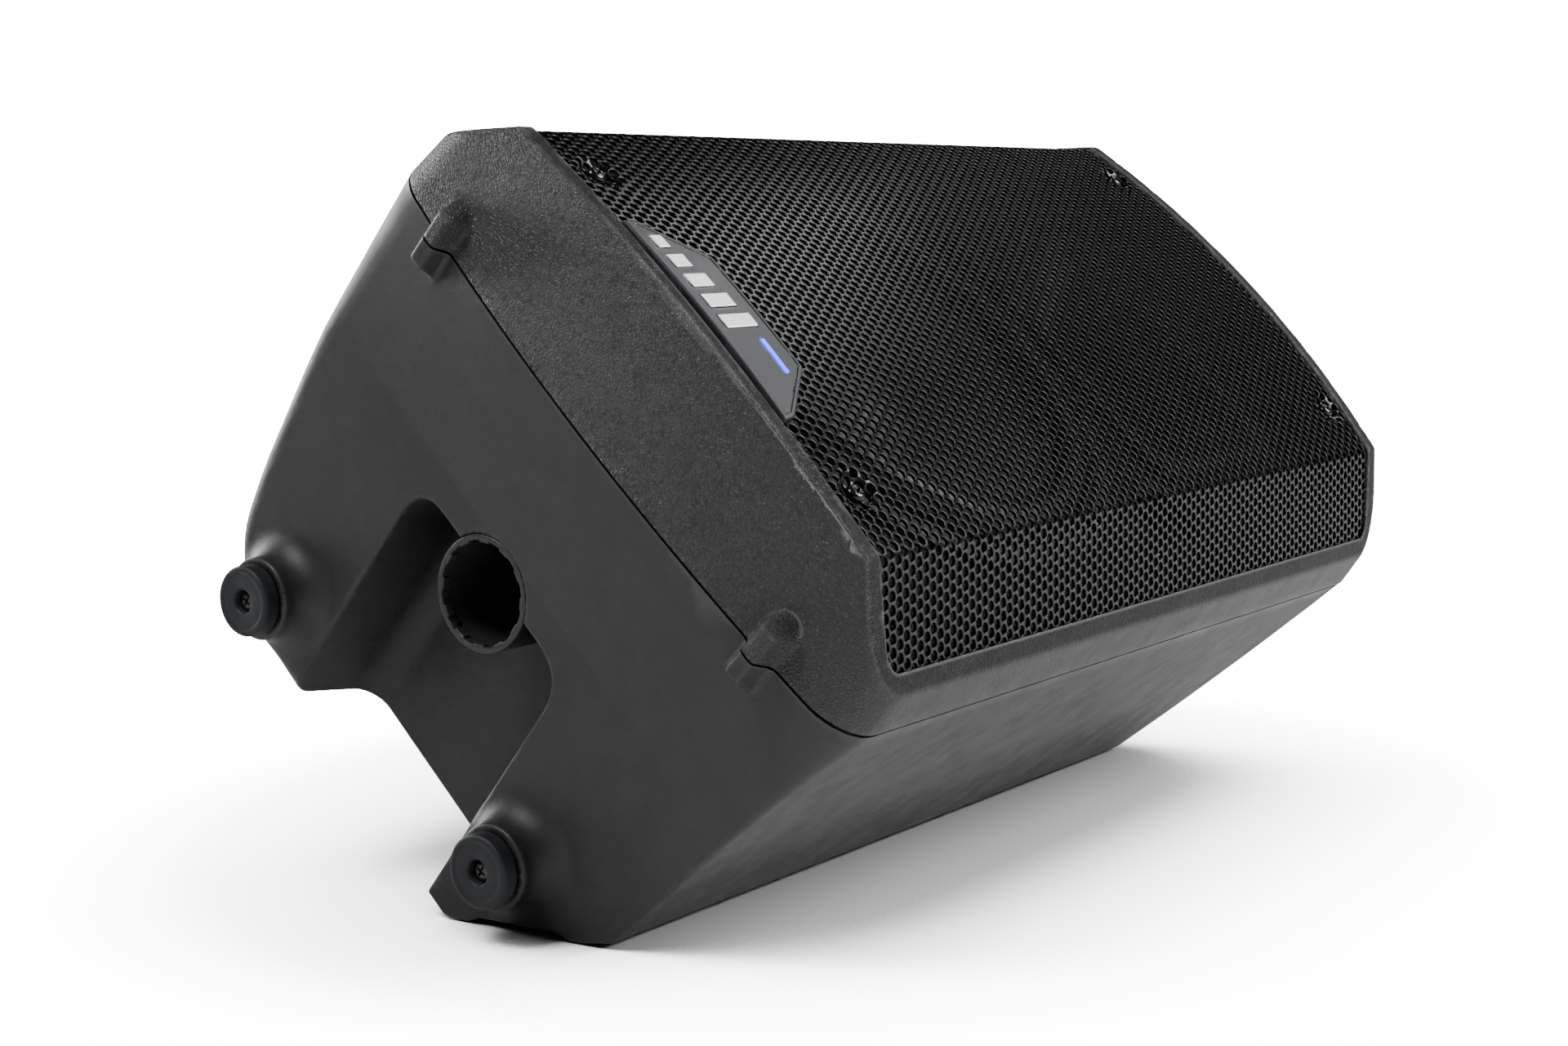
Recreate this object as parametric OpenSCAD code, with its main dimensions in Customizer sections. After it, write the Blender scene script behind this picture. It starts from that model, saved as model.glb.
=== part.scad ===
// Stage monitor wedge: a small powered two-way loudspeaker in a moulded cabinet.
//
// The cabinet is designed in its own frame: x across it towards the side it lies on, y along it
// from the pole socket's mouth to the handle end, z from the back towards the grille.
// wedge_pose() then lays it on its monitor facet, with +Z up and the pole axis along X.
// The origin is the centre of the pole socket's mouth.

/* [Cabinet] */
// Half the cabinet's width at the seam between front and rear mouldings
half_w = 132.3; // [131:0.1:134]
// Height of the seam in front of the pole axis
seam_z = 78; // [77:0.5:79]
// Distance of the flat back behind the pole axis
back_z = 102.4; // [102:0.1:104]
// Handle end, at the middle of the seam
far_y = 412.9; // [411:0.1:416]
// How far the near end bulges past the pole socket's mouth, at the middle of the seam
near_bulge = 6; // [4:0.5:7]
// How much both ends fall away towards the cabinet's sides
crown = 9; // [8:0.5:10]
// Height of the middle of the grille in front of the pole axis
front_z = 134.5; // [133:0.5:136]
// Wall thickness of the mouldings
wall = 3.5; // [3:0.1:4]
// Gap between the front and rear mouldings
seam_gap = 1.2; // [0.8:0.1:1.6]
// Angle of the monitor facet to the back
tilt = 45; // [45]

/* [Pole socket and feet] */
// Radius of the pole socket's bore
pole_r = 18; // [17.8:0.1:18.2]
// Depth of the pole socket's bore
pole_depth = 80; // [70:1:80]
// Number of grooves round the mouth of the bore
pole_grooves = 12; // [8:1:16]
// Radius of a rubber foot
foot_r = 13.1; // [12:0.1:14]
// Distance of the feet's ends past the pole socket's mouth
foot_end = 19.4; // [18:0.1:21]
// Height of the two moulded toes past the pole socket's mouth
toe_end = 8.1; // [7.5:0.1:9]

/* [Woofer] */
// Distance of the woofer's axis from the pole socket's mouth
woofer_y = 140; // [138:1:141]
// Outer radius of the woofer's frame
woofer_r = 104; // [102:0.5:104]
// Radius of the voice coil's former
coil_r = 26; // [26]
// Number of screws in the woofer's flange
woofer_bolts = 8; // [6, 8]

/* [Horn] */
// Distance of the horn's axis from the pole socket's mouth
horn_y = 310; // [309:1:311]
// Width of the horn's flange
horn_w = 156; // [150:1:156]
// Height of the horn's flange
horn_h = 112; // [108:1:112]
// Radius of the horn's throat
throat_r = 12.7; // [12:0.1:13]

/* [Amplifier panel] */
// Lowest x of the panel's recess
amp_x0 = -64; // [-64]
// Highest x of the panel's recess
amp_x1 = 54; // [54]
// Near end of the panel's recess
amp_y0 = 58; // [58]
// Far end of the panel's recess
amp_y1 = 334; // [334]
// Depth of the panel's recess in the back
amp_recess = 22.4; // [22:0.1:23]
// Distance of each gain knob's axis from the panel's middle line
knob_dx = 27; // [25:1:28]
// Radius of a gain knob
knob_r = 9; // [8:0.1:10]

/* [Hidden] */
$fn = 96;
EPS = 0.01;
FIT = 0.05;

rear_top = seam_z - seam_gap / 2;
baffle_low = seam_z + seam_gap / 2;
side_slope = 0.1054;

// ---- outlines and sections ----

function arc(cx, cy, r, a0, a1, n = 5) =
    [for (i = [0:n]) let (a = a0 + (a1 - a0) * i / n) [cx + r * cos(a), cy + r * sin(a)]];

// An edge from xa to xb whose ends fall away from y by sag
function crowned(xa, xb, y, sag, n = 8) =
    [for (i = [0:n]) let (t = 2 * i / n - 1) [xa + (xb - xa) * i / n, y + sag * t * t]];

// Cabinet outline in x and y, with its near and far ends crowned and its corners rounded
function outline(x0, x1, y0, y1, sag, r_near, r_far) = concat(
    crowned(x0 + r_near, x1 - r_near, y0, sag),
    arc(x1 - r_near, y0 + sag + r_near, r_near, -90, 0),
    arc(x1 - r_far, y1 - sag - r_far, r_far, 0, 90),
    crowned(x1 - r_far, x0 + r_far, y1, -sag),
    arc(x0 + r_far, y1 - sag - r_far, r_far, 90, 180),
    arc(x0 + r_near, y0 + sag + r_near, r_near, 180, 270));

// A closed outline moved inwards by d; its points run anticlockwise
function unit(v) = v / norm(v);
function inset(p, d) = [for (i = [0:len(p) - 1])
    let (a = unit(p[i] - p[(i + len(p) - 1) % len(p)]), b = unit(p[(i + 1) % len(p)] - p[i]))
    p[i] + d * [-a[1] - b[1], a[0] + b[0]] / (1 + a[0] * b[0] + a[1] * b[1])];

// Front moulding across the cabinet: side faces, chamfers and the bowed front
CHEEK = [130.3, 93.7];
BROW = [97, 127];
function bowed_front(n = 12) = [for (i = [0:n]) let (t = 1 - 2 * i / n)
    [BROW[0] * t, front_z - (front_z - BROW[1]) * t * t]];
front_section = concat([[half_w + 5.1, seam_z - 40], CHEEK], bowed_front(),
    [[-CHEEK[0], CHEEK[1]], [-half_w - 5.1, seam_z - 40]]);

// Rear moulding across the cabinet; the facet has two flat rails that touch the floor
FACET_FRONT = [119.1, -47.2];
FACET_BACK = [64.9, -102.4];
rear_section = [[half_w + 40 * side_slope, seam_z + 40], [-half_w - 5, seam_z + 40], [-120.5, -4.4],
    [-110.6, -55], [-101.6, -84], [-75, -back_z], FACET_BACK, [68.4, -100.4], [111.5, -57.3], FACET_FRONT];
rail_relief = [[106.5, -62.3], [100.1, -65.9], [76.7, -89.2], [74.4, -94.4], [86, -106], [118, -74]];
rail_backing = [[107, -62], [72, -97], [67.5, -93.5], [102, -59]];

function along_side(z) = half_w - (seam_z - z) * side_slope;

// ---- placing ----

module wedge_pose() { rotate([tilt, 0, 0]) rotate([0, 0, -90]) children(); }

module along_length(y0, y1) {
    translate([0, y1, 0]) rotate([90, 0, 0]) linear_extrude(y1 - y0) children();
}

module along_width(x0, x1) {
    translate([x0, 0, 0]) rotate([90, 0, 90]) linear_extrude(x1 - x0) children();
}

module plate(z, points) { translate([0, 0, z]) linear_extrude(EPS) polygon(points); }

module box(low, high) { translate(low) cube(high - low); }

module tube(r_out, r_in, z0, z1) {
    difference() {
        translate([0, 0, z0]) cylinder(r = r_out, h = z1 - z0);
        translate([0, 0, z0 - 1]) cylinder(r = r_in, h = z1 - z0 + 2);
    }
}

module disc(r, z0, z1) { translate([0, 0, z0]) cylinder(r = r, h = z1 - z0); }

// A screw along z: its head starts at z and points up, its shank goes down
module screw(head_r, head_h, shank_r, shank_l) {
    difference() {
        union() {
            disc(head_r, 0, head_h);
            disc(shank_r, -shank_l, 0.1);
        }
        for (a = [0, 90]) rotate(a)
            box([-head_r * 0.55, -0.45, head_h - 1.2], [head_r * 0.55, 0.45, head_h + 1]);
    }
}

// A straight-jointed cable through the given points
module wire(points, r) {
    for (i = [0:len(points) - 2]) hull() {
        translate(points[i]) sphere(r = r, $fn = 12);
        translate(points[i + 1]) sphere(r = r, $fn = 12);
    }
}

// ---- cabinet ----

baffle_screw_at = [for (s = [-1, 1], y = [30, 208, 372]) [s * 108, y]];
grille_screw_at = [for (s = [-1, 1], y = [23.9, 385.5]) [s * 72.9, y]];
foot_at = [[-66.6, -77], [73.4, -57.3]];
toe_x = 92.7;
board_z = 104;
board_t = 4;
panel_mid = (amp_x0 + amp_x1) / 2;
ledge_z = amp_recess - back_z;

// The rear moulding's outside, or its cavity when d is its wall
module rear_solid(d) {
    top = rear_top + (d > 0 ? 5 : 0);
    difference() {
        intersection() {
            hull() {
                plate(top - EPS, outline(d - half_w, half_w - d, d - near_bulge, far_y - d, crown, 18, 20));
                plate(30, outline(d - 125.1, along_side(30) - d, d - 3, far_y - 3 - d, 7, 12, 20));
                plate(-15, outline(d - 119, along_side(-15) - d, d, far_y - 11 - d, 5, 8, 22));
                plate(-52, outline(d - 111.2, 119 - d, d, far_y - 29 - d, 4, 8, 24));
                plate(d - back_z, outline(d - 75, 72 - d, d + 1, far_y - 63 - d, 2, 8, 24));
            }
            along_length(-30, far_y + 10) polygon(inset(rear_section, d));
        }
        // the near end is flat behind the pole axis
        along_width(-half_w, half_w)
            polygon([[-40, -120], [d - 0.3, -120], [d - 0.3, 20], [d - near_bulge - 0.2, rear_top + 6],
                [-40, rear_top + 6]]);
    }
}

// The recess behind the pole socket, open at the back and the near end
module slot(d) {
    along_length(-30, 38 + d)
        polygon(inset(concat([[-38.4, -back_z - 10]], [[55.8, -back_z - 10]], [[47.1, -11.4]],
            arc(33.5, -6.5, 13.4, 5, 90, 4), arc(-30, -6.5, 13.4, 90, 176, 4)), -d));
}

module foot_boss() {
    disc(15.2, -12.4, 6);
    // flare that runs out into the end face
    rotate_extrude() difference() {
        translate([0, -9]) square([27, 13]);
        translate([27.2, -9]) circle(r = 12);
    }
}

module toe(z0, z1, z_end) {
    intersection() {
        translate([0, 0, z0]) linear_extrude(z1 - z0)
            polygon([[-6.2, 2], [6.2, 2], [6.2, -1], [2.8, -toe_end], [-2.8, -toe_end], [-6.2, -1]]);
        along_width(-10, 10)
            polygon([[2, 65.5], [2, 95], [-1, 95], [-toe_end, 90], [-toe_end, 68.5], [-1, 65.5]]);
    }
}

module rear_shell() {
    color("#35363a") wedge_pose() difference() {
        union() {
            difference() {
                rear_solid(0);
                rear_solid(wall);
            }
            intersection() {
                rear_solid(0);
                union() {
                    slot(wall);
                    along_length(0, far_y) polygon(rail_backing);
                    // amplifier recess, ledge and handle pocket
                    box([amp_x0 - 3, amp_y0 - 3, -back_z], [amp_x1 + 3, amp_y1 + 3, ledge_z + wall]);
                    box([-65.5, 354.5, -38.5], [65.5, far_y, 38.5]);
                    // posts that take the baffle's screws
                    for (p = baffle_screw_at)
                        box([p[0] > 0 ? 102 : -127, p[1] - 6, 20],
                            [p[0] > 0 ? 127 : -102, p[1] + 6, rear_top]);
                }
            }
            intersection() {
                for (p = foot_at) translate([p[0], 0, p[1]]) rotate([-90, 0, 0]) foot_boss();
                along_length(-13, 30) polygon(rear_section);
            }
            for (s = [-1, 1]) translate([s * toe_x, 0, 0]) toe(50, rear_top);
        }
        slot(0);
        // hole for the pole socket
        rotate([-90, 0, 0]) disc(pole_r + 2.9 + FIT, -20, 60);
        // relief between the two rails
        along_length(-30, far_y + 10) polygon(rail_relief);
        // amplifier recess and the opening in its ledge
        box([amp_x0, amp_y0, -back_z - 5], [amp_x1, amp_y1, ledge_z]);
        box([amp_x0 + 7, amp_y0 + 7, -back_z - 5], [amp_x1 - 7, amp_y1 - 7, ledge_z + wall + 1]);
        for (p = panel_screw_at) translate([p[0], p[1], 0]) disc(1.5 + FIT, ledge_z - 1, ledge_z + wall + 1);
        // handle pocket and its screw holes
        box([-62, 358, -35], [62, far_y + 10, 35]);
        for (z = [-6, 6]) translate([-70, grip_screw_y, z]) rotate([0, 90, 0]) cylinder(r = 2.2, h = 140);
        for (p = baffle_screw_at) translate([p[0], p[1], 0]) disc(1.95 + FIT, 40, rear_top + 5);
        for (p = foot_at) translate([p[0], 0, p[1]]) rotate([-90, 0, 0]) disc(1.95 + FIT, -30, 20);
    }
}

module front_solid(d) {
    intersection() {
        hull() {
            plate(baffle_low, outline(d - half_w, half_w - d, d - near_bulge, far_y - d, crown, 18, 20));
            plate(front_z + 1, outline(-CHEEK[0], CHEEK[0], d, far_y - near_bulge - d, 8.6, 18, 20));
        }
        along_length(-30, far_y + 10) polygon(inset(front_section, d));
    }
}

// The grille's opening, between z0 and z1
module opening(d, z0, z1) {
    translate([0, 0, z0]) linear_extrude(z1 - z0)
        polygon(outline(d - 123.7, 123.7 - d, 7 + d, far_y - near_bulge - 7 - d, 8.6, 6, 6));
}

module front_baffle() {
    color("#46474b") wedge_pose() difference() {
        union() {
            difference() {
                front_solid(0);
                // cavity behind the driver board
                intersection() {
                    front_solid(wall);
                    along_length(-30, far_y + 10) polygon([[130, 70], [124.8, 91.4], [113, board_z - board_t],
                        [-113, board_z - board_t], [-124.8, 91.4], [-130, 70]]);
                }
                // space in front of the driver board
                intersection() {
                    opening(0, 90, front_z + 5);
                    along_length(-30, far_y + 10) polygon([[125, 95.2], [125, 150], [-125, 150], [-125, 95.2],
                        [-113, board_z], [113, board_z]]);
                }
            }
            for (p = grille_screw_at) translate([p[0], p[1], 0]) disc(5.5, board_z - 1, 125.5);
            for (p = baffle_screw_at) translate([p[0], p[1], 0]) disc(5.5, baffle_low, board_z - 1);
            for (s = [-1, 1]) translate([s * toe_x, 0, 0]) toe(baffle_low, 110);
        }
        translate([0, woofer_y, 0]) {
            disc(94.6, 80, 120);
            bolt_holes(1.95 + FIT, 90, 110);
        }
        box([-74.5, horn_y - 52.5, 80], [74.5, horn_y + 52.5, 120]);
        for (p = horn_screw_at) translate([p[0], p[1], 0]) disc(1.95 + FIT, 90, 110);
        for (p = port_at) translate([p[0], p[1], 0]) disc(15 + FIT, 80, 120);
        for (p = baffle_screw_at) translate([p[0], p[1], 0]) disc(2.3, 70, 110);
        for (p = grille_screw_at) translate([p[0], p[1], 0]) disc(1.95 + FIT, 108, 130);
    }
}

module seam_gasket() {
    color("#151515") wedge_pose() translate([0, 0, rear_top]) linear_extrude(seam_gap) difference() {
        polygon(outline(1.6 - half_w, half_w - 1.6, 1.6 - near_bulge, far_y - 1.6, crown, 16.4, 18.4));
        polygon(outline(3.4 - half_w, half_w - 3.4, 3.4 - near_bulge, far_y - 3.4, crown, 14.6, 16.6));
    }
}

module at_each(points, z) { for (p = points) translate([p[0], p[1], z]) children(); }

module baffle_screws() {
    color("#202020") wedge_pose() at_each(baffle_screw_at, board_z) screw(3.6, 2.4, 1.95, 54);
}

// ---- grille and badge ----

sheet_out = 1.2;
sheet_t = 1.2;
cup_z = 126.8;

module front_skin(d) {
    intersection() {
        opening(0.4, 90, front_z + 5);
        along_length(-30, far_y + 10) polygon(inset(front_section, d));
    }
}

module grille() {
    color("#1a1a1c") wedge_pose() difference() {
        union() {
            difference() {
                front_skin(sheet_out);
                along_length(-30, far_y + 10) polygon(inset(front_section, sheet_out + sheet_t));
                box([-half_w, -30, 60], [half_w, far_y + 10, 97]);
            }
            // cups pressed into the sheet under the screws' heads
            intersection() {
                for (p = grille_screw_at) translate([p[0], p[1], 0]) disc(7.2, cup_z - sheet_t, front_z);
                along_length(-30, far_y + 10) polygon(inset(front_section, sheet_out));
            }
        }
        for (p = grille_screw_at) translate([p[0], p[1], 0]) {
            disc(6, cup_z, front_z + 5);
            disc(2.2, 120, 130);
        }
    }
}

module grille_screws() {
    color("#101012") wedge_pose() at_each(grille_screw_at, cup_z) screw(3.4, 2.4, 1.95, 18);
}

badge_y0 = 9;
badge_y1 = 36;

module badge_outline() {
    polygon([[-44, badge_y0], [44, badge_y0], [43, badge_y0 + 5], [25, badge_y1], [-25, badge_y1],
        [-43, badge_y0 + 5]]);
}

module badge_plate() {
    color("#2c2d31") wedge_pose() difference() {
        intersection() {
            translate([0, 0, 110]) linear_extrude(40) badge_outline();
            along_length(0, 60) polygon(inset(front_section, -0.8));
        }
        along_length(0, 60) polygon(inset(front_section, sheet_out - FIT));
        badge_inlay(5) emblem_outline(0.1);
        badge_inlay(5) light_outline(0.1);
    }
}

// A plain row of level-meter bars
module emblem_outline(d) {
    for (i = [0:4]) translate([-37 + i * 9.4 - d, 14 - d]) square([6 + 2 * d, 6 + 2.6 * i + 2 * d]);
}

module light_outline(d) { translate([12 - d, 25.5 - d]) square([15 + 2 * d, 2.6 + 2 * d]); }

// An inlay in the badge's bowed face, standing proud of the grille's surface
module badge_inlay(proud) {
    difference() {
        intersection() {
            translate([0, 0, 110]) linear_extrude(40) children();
            along_length(0, 60) polygon(inset(front_section, -proud));
        }
        along_length(0, 60) polygon(inset(front_section, 0.3));
    }
}

module badge_emblem() {
    color("#c8c9cc") wedge_pose() badge_inlay(1.2) emblem_outline(0);
}

module badge_light() {
    color("#2b4dff") wedge_pose() badge_inlay(1) light_outline(0);
}

// ---- pole socket, feet and handle ----

module pole_socket() {
    color("#303135") wedge_pose() rotate([-90, 0, 0]) difference() {
        union() {
            disc(pole_r + 2.9, 0, pole_depth + 3);
            disc(pole_r + 9, 38 + wall + 0.1, 38 + wall + 4);
        }
        disc(pole_r, -1, pole_depth);
        // grooves between the ribs just inside the mouth
        intersection() {
            tube(pole_r + 0.8, pole_r - 1, 2, 22);
            for (i = [0:pole_grooves - 1]) rotate(i * 360 / pole_grooves) box([0, -3.2, 0], [30, 3.2, 30]);
        }
    }
}

// Each foot's axis, pointing away from the cabinet's near end
module at_feet() {
    wedge_pose() for (p = foot_at) translate([p[0], 0, p[1]]) rotate([90, 0, 0]) children();
}

module rear_feet() {
    color("#17191f") at_feet() difference() {
        union() {
            disc(foot_r, 12.4, foot_end - 1);
            disc(foot_r - 1, foot_end - 1, foot_end);
        }
        disc(4.3, 15, foot_end + 1);
        disc(2.3, 10, 20);
    }
}

module foot_screws() {
    color("#3a3a3c") at_feet() translate([0, 0, 15]) screw(3.7, 2.2, 1.95, 24);
}

grip_y = 394;
grip_screw_y = 392.5;

// Each handle screw's axis, pointing out of the grip's end from x = 0
module at_grip_screws() {
    for (s = [0, 180]) rotate([0, s, 0]) for (z = [-6, 6])
        translate([0, grip_screw_y, z]) rotate([0, 90, 0]) children();
}

module carry_handle() {
    color("#2a2b2e") wedge_pose() difference() {
        along_width(-62 + FIT, 62 - FIT) translate([grip_y, 0]) {
            square([9, 24], center = true);
            square([17, 16], center = true);
            for (a = [-1, 1], b = [-1, 1]) translate([a * 4.5, b * 8]) circle(r = 4);
        }
        at_grip_screws() disc(2.2, 40, 70);
    }
}

module handle_screws() {
    color("#202020") wedge_pose() at_grip_screws() translate([0, 0, 65.6]) screw(3.4, 2.6, 2.15, 22);
}

// ---- woofer ----

woofer_bolt_angles = [for (i = [0:woofer_bolts - 1]) (i + 0.5) * 360 / woofer_bolts];
flange_z = board_z + 0.8;
flange_top = flange_z + 3;
spider_z = 64;

module at_woofer() { wedge_pose() translate([0, woofer_y, 0]) children(); }

module bolt_holes(r, z0, z1) {
    for (a = woofer_bolt_angles) rotate(a) translate([99, 0, 0]) disc(r, z0, z1);
}

module woofer_gasket() {
    color("#151515") at_woofer() difference() {
        tube(woofer_r, 95, board_z, flange_z);
        bolt_holes(2.3, 100, 110);
    }
}

module woofer_basket() {
    color("#222325") at_woofer() difference() {
        rotate_extrude() polygon([[woofer_r, flange_top], [woofer_r, flange_z], [94.2, flange_z],
            [94.2, 98], [64, 56], [64, 46], [29, 46], [29, 50], [56, 50], [56, spider_z],
            [66, spider_z], [89.5, 98], [89.5, flange_top]]);
        for (i = [0:5]) rotate(i * 60) box([60, -19, 68], [110, 19, 94]);
        bolt_holes(2.3, 100, 110);
    }
}

module woofer_screws() {
    color("#202020") at_woofer() for (a = woofer_bolt_angles)
        rotate(a) translate([99, 0, flange_top]) screw(3.6, 2.4, 1.95, 14);
}

module woofer_trim_ring() { color("#101010") at_woofer() tube(95, 90.2, flange_top + 0.9, flange_top + 3); }

module woofer_surround() {
    color("#141414") at_woofer() rotate_extrude() {
        translate([83, flange_top + 0.05]) difference() {
            circle(r = 7.2);
            circle(r = 6.4);
            translate([-10, -10]) square([20, 10]);
        }
        translate([89.6, flange_top + 0.05]) square([5.4, 0.8]);
        translate([72, flange_top + 0.05]) square([4.4, 0.8]);
    }
}

module woofer_cone() {
    color("#26272a") at_woofer() rotate_extrude()
        polygon([[76.4, flange_top], [72, flange_top], [coil_r + 0.1, 73], [coil_r + 0.1, 71],
            [76.4, flange_top - 1.6]]);
}

module woofer_dust_cap() {
    color("#1c1c1e") at_woofer() rotate_extrude() difference() {
        intersection() {
            translate([0, 41]) circle(r = 52);
            translate([0, 79.6]) square([34, 20]);
        }
        translate([0, 40.2]) circle(r = 52);
    }
}

module woofer_voice_coil() {
    color("#b87333") at_woofer() {
        tube(coil_r, coil_r - 0.4, 38, 73);
        tube(coil_r + 0.8, coil_r - 0.1, 40, 52);
    }
}

// Four ripples from the voice coil outwards
function spider_wave(lift, steps) = [for (i = steps) let (t = i / 24)
    [coil_r + 0.1 + 28 * t, spider_z + lift + 1.1 * sin(t * 1440)]];

module woofer_spider() {
    color("#c9a24a") at_woofer() rotate_extrude() {
        polygon(concat(spider_wave(1.2, [0:24]), spider_wave(1.8, [24:-1:0])));
        translate([54, spider_z + 0.1]) square([8, 1.7]);
    }
}

module woofer_top_plate() { color("#7d7f82") at_woofer() tube(50, 27.6, 40, 46); }

module woofer_magnet() { color("#2f3033") at_woofer() tube(55, 32, 22, 40); }

module woofer_back_plate() {
    color("#7d7f82") at_woofer() difference() {
        union() {
            disc(50, 16, 22);
            disc(24.8, 22, 46);
        }
        disc(5, 0, 60);
    }
}

// ---- horn, tweeter and ports ----

horn_screw_at = [for (a = [-1, 1], b = [-1, 1])
    [a * (horn_w / 2 - 5.8), horn_y + b * (horn_h / 2 - 1.8)]];
port_at = [[-94, 240], [94, 240]];

module rounded_rect(w, h, r) {
    translate([-w / 2 + r, -h / 2]) square([w - 2 * r, h]);
    translate([-w / 2, -h / 2 + r]) square([w, h - 2 * r]);
    for (a = [-1, 1], b = [-1, 1]) translate([a * (w / 2 - r), b * (h / 2 - r)]) circle(r = r, $fn = 32);
}

module at_horn() { wedge_pose() translate([0, horn_y, 0]) children(); }

module horn() {
    color("#1b1b1d") at_horn() difference() {
        union() {
            translate([0, 0, board_z]) linear_extrude(3.4) rounded_rect(horn_w, horn_h, 8);
            hull() {
                translate([0, 0, board_z - 0.5]) linear_extrude(1)
                    rounded_rect(horn_w - 8.5, horn_h - 8.5, 10);
                disc(throat_r + 3, 51, 55);
            }
            disc(37, 50, 54);
        }
        hull() {
            translate([0, 0, board_z + 3.4]) linear_extrude(1) rounded_rect(horn_w - 16, horn_h - 16, 8);
            disc(throat_r, 49, 50);
        }
        for (p = horn_screw_at) translate([p[0], p[1] - horn_y, 0]) disc(2.2, 90, 120);
    }
}

module horn_screws() {
    color("#202020") wedge_pose() at_each(horn_screw_at, board_z + 3.4) screw(3.2, 2.2, 1.95, 14);
}

module tweeter_motor() {
    color("#3c3d40") at_horn() difference() {
        disc(40, 24, 49.9);
        disc(throat_r, 20, 60);
        disc(27, 20, 31);
    }
}

module tweeter_diaphragm() {
    color("#b9bcc2") at_horn() {
        rotate_extrude() difference() {
            intersection() {
                translate([0, 4]) circle(r = 26);
                translate([0, 25.6]) square([20, 10]);
            }
            translate([0, 3.6]) circle(r = 26);
        }
        tube(26, 14.4, 25.6, 26);
    }
}

module tweeter_cover() {
    color("#1e1e20") at_horn() difference() {
        disc(38, 10, 23.9);
        disc(34, 13, 30);
    }
}

module port_tubes() {
    color("#1b1b1d") wedge_pose() for (p = port_at) translate([p[0], p[1], 0]) {
        tube(15, 12.5, 58, board_z + 1);
        tube(17.5, 12.5, board_z, board_z + 2.4);
    }
}

module damping_pads() {
    color("#8b8b86") wedge_pose() along_length(112, 300) {
        polygon([for (p = [[17, 4.7], [-38, 4.7], [-38, 18], [17, 18]]) [along_side(p[0]) - p[1], p[0]]]);
        polygon([[-118.6, 16], [-105, 16], [-95, -42], [-108.2, -42], [-115, -8]]);
    }
}

// ---- amplifier panel ----

panel_out = ledge_z - 3.8;
panel_in = ledge_z - 0.8;
panel_screw_at = [for (x = [amp_x0 + 3.5, amp_x1 - 3.5], y = [amp_y0 + 3.8, 150, 242, amp_y1 - 3.8]) [x, y]];
sink_screw_at = [for (x = [-52, 42], y = [124, 180]) [x, y]];
knob_at = [[panel_mid - knob_dx, 296], [panel_mid + knob_dx, 296]];
input_at = [[panel_mid - knob_dx, 252], [panel_mid + knob_dx, 252]];
output_at = [panel_mid - knob_dx, 212];
mode_at = [panel_mid + knob_dx, 212];
light_at = [for (i = [0:3]) [panel_mid - 18 + 12 * i, 322]];
rocker_at = [30, 84];
inlet_at = [-25, 84];
post_at = [for (x = [-51, 41], y = [74, 104, 114, 190, 202, 318]) [x, y]];
board_back = -50;

module at_panel(p) { wedge_pose() translate([p[0], p[1], 0]) children(); }

module amp_panel() {
    color("#1d1e20") wedge_pose() difference() {
        union() {
            box([amp_x0 + 0.3, amp_y0 + 0.3, panel_out], [amp_x1 - 0.3, amp_y1 - 0.3, panel_in]);
            for (p = post_at) translate([p[0], p[1], 0]) disc(3, panel_in, board_back);
        }
        at_each(panel_screw_at, 0) disc(1.8, panel_out - 1, panel_in + 1);
        at_each(sink_screw_at, 0) disc(1.5 + FIT, panel_out - 1, panel_in + 1);
        at_each(concat(input_at, [output_at]), 0) disc(12.1, panel_out - 1, panel_in + 1);
        at_each(knob_at, 0) disc(3.5, panel_out - 1, panel_in + 1);
        at_each(light_at, 0) disc(1.6, panel_out - 1, panel_in + 1);
        at_each([mode_at], 0) disc(3.2, panel_out - 1, panel_in + 1);
        at_each([rocker_at], 0) box([-9.7, -6.6, panel_out - 1], [9.7, 6.6, panel_in + 1]);
        at_each([inlet_at], 0) box([-14.7, -12.2, panel_out - 1], [14.7, 16.7, panel_in + 1]);
    }
}

module panel_gasket() {
    color("#101010") wedge_pose() difference() {
        box([amp_x0 + 1, amp_y0 + 1, panel_in], [amp_x1 - 1, amp_y1 - 1, ledge_z]);
        box([amp_x0 + 6, amp_y0 + 6.4, panel_in - 1], [amp_x1 - 6, amp_y1 - 6.4, ledge_z + 1]);
        for (p = panel_screw_at) translate([p[0], p[1], 0]) disc(1.8, panel_in - 1, ledge_z + 1);
    }
}

module panel_screws() {
    color("#2a2a2a") wedge_pose() at_each(panel_screw_at, panel_out)
        rotate([180, 0, 0]) screw(2.9, 1.9, 1.5, 7);
}

module heat_sink() {
    color("#232427") wedge_pose() difference() {
        union() {
            box([-56, 118, panel_out - 3], [46, 186, panel_out]);
            for (x = [-47:6:37]) box([x - 0.8, 118, panel_out - 15], [x + 0.8, 186, panel_out - 2]);
        }
        for (p = sink_screw_at) translate([p[0], p[1], 0]) disc(1.8, panel_out - 5, panel_out + 1);
    }
}

module heat_sink_screws() {
    color("#2a2a2a") wedge_pose() at_each(sink_screw_at, panel_out - 3)
        rotate([180, 0, 0]) screw(2.7, 1.8, 1.5, 8);
}

// A circuit board on the panel's posts
module board(y0, y1) { box([-54, y0, board_back], [44, y1, board_back + 1.6]); }

module power_board() {
    color("#1f5a36") wedge_pose() {
        board(69, 109);
        translate([-22, 89, 0]) tube(17, 6, board_back + 1, board_back + 20);
        for (x = [12, 32]) translate([x, 89, 0]) disc(8.5, board_back + 1, board_back + 26);
    }
}

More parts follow.
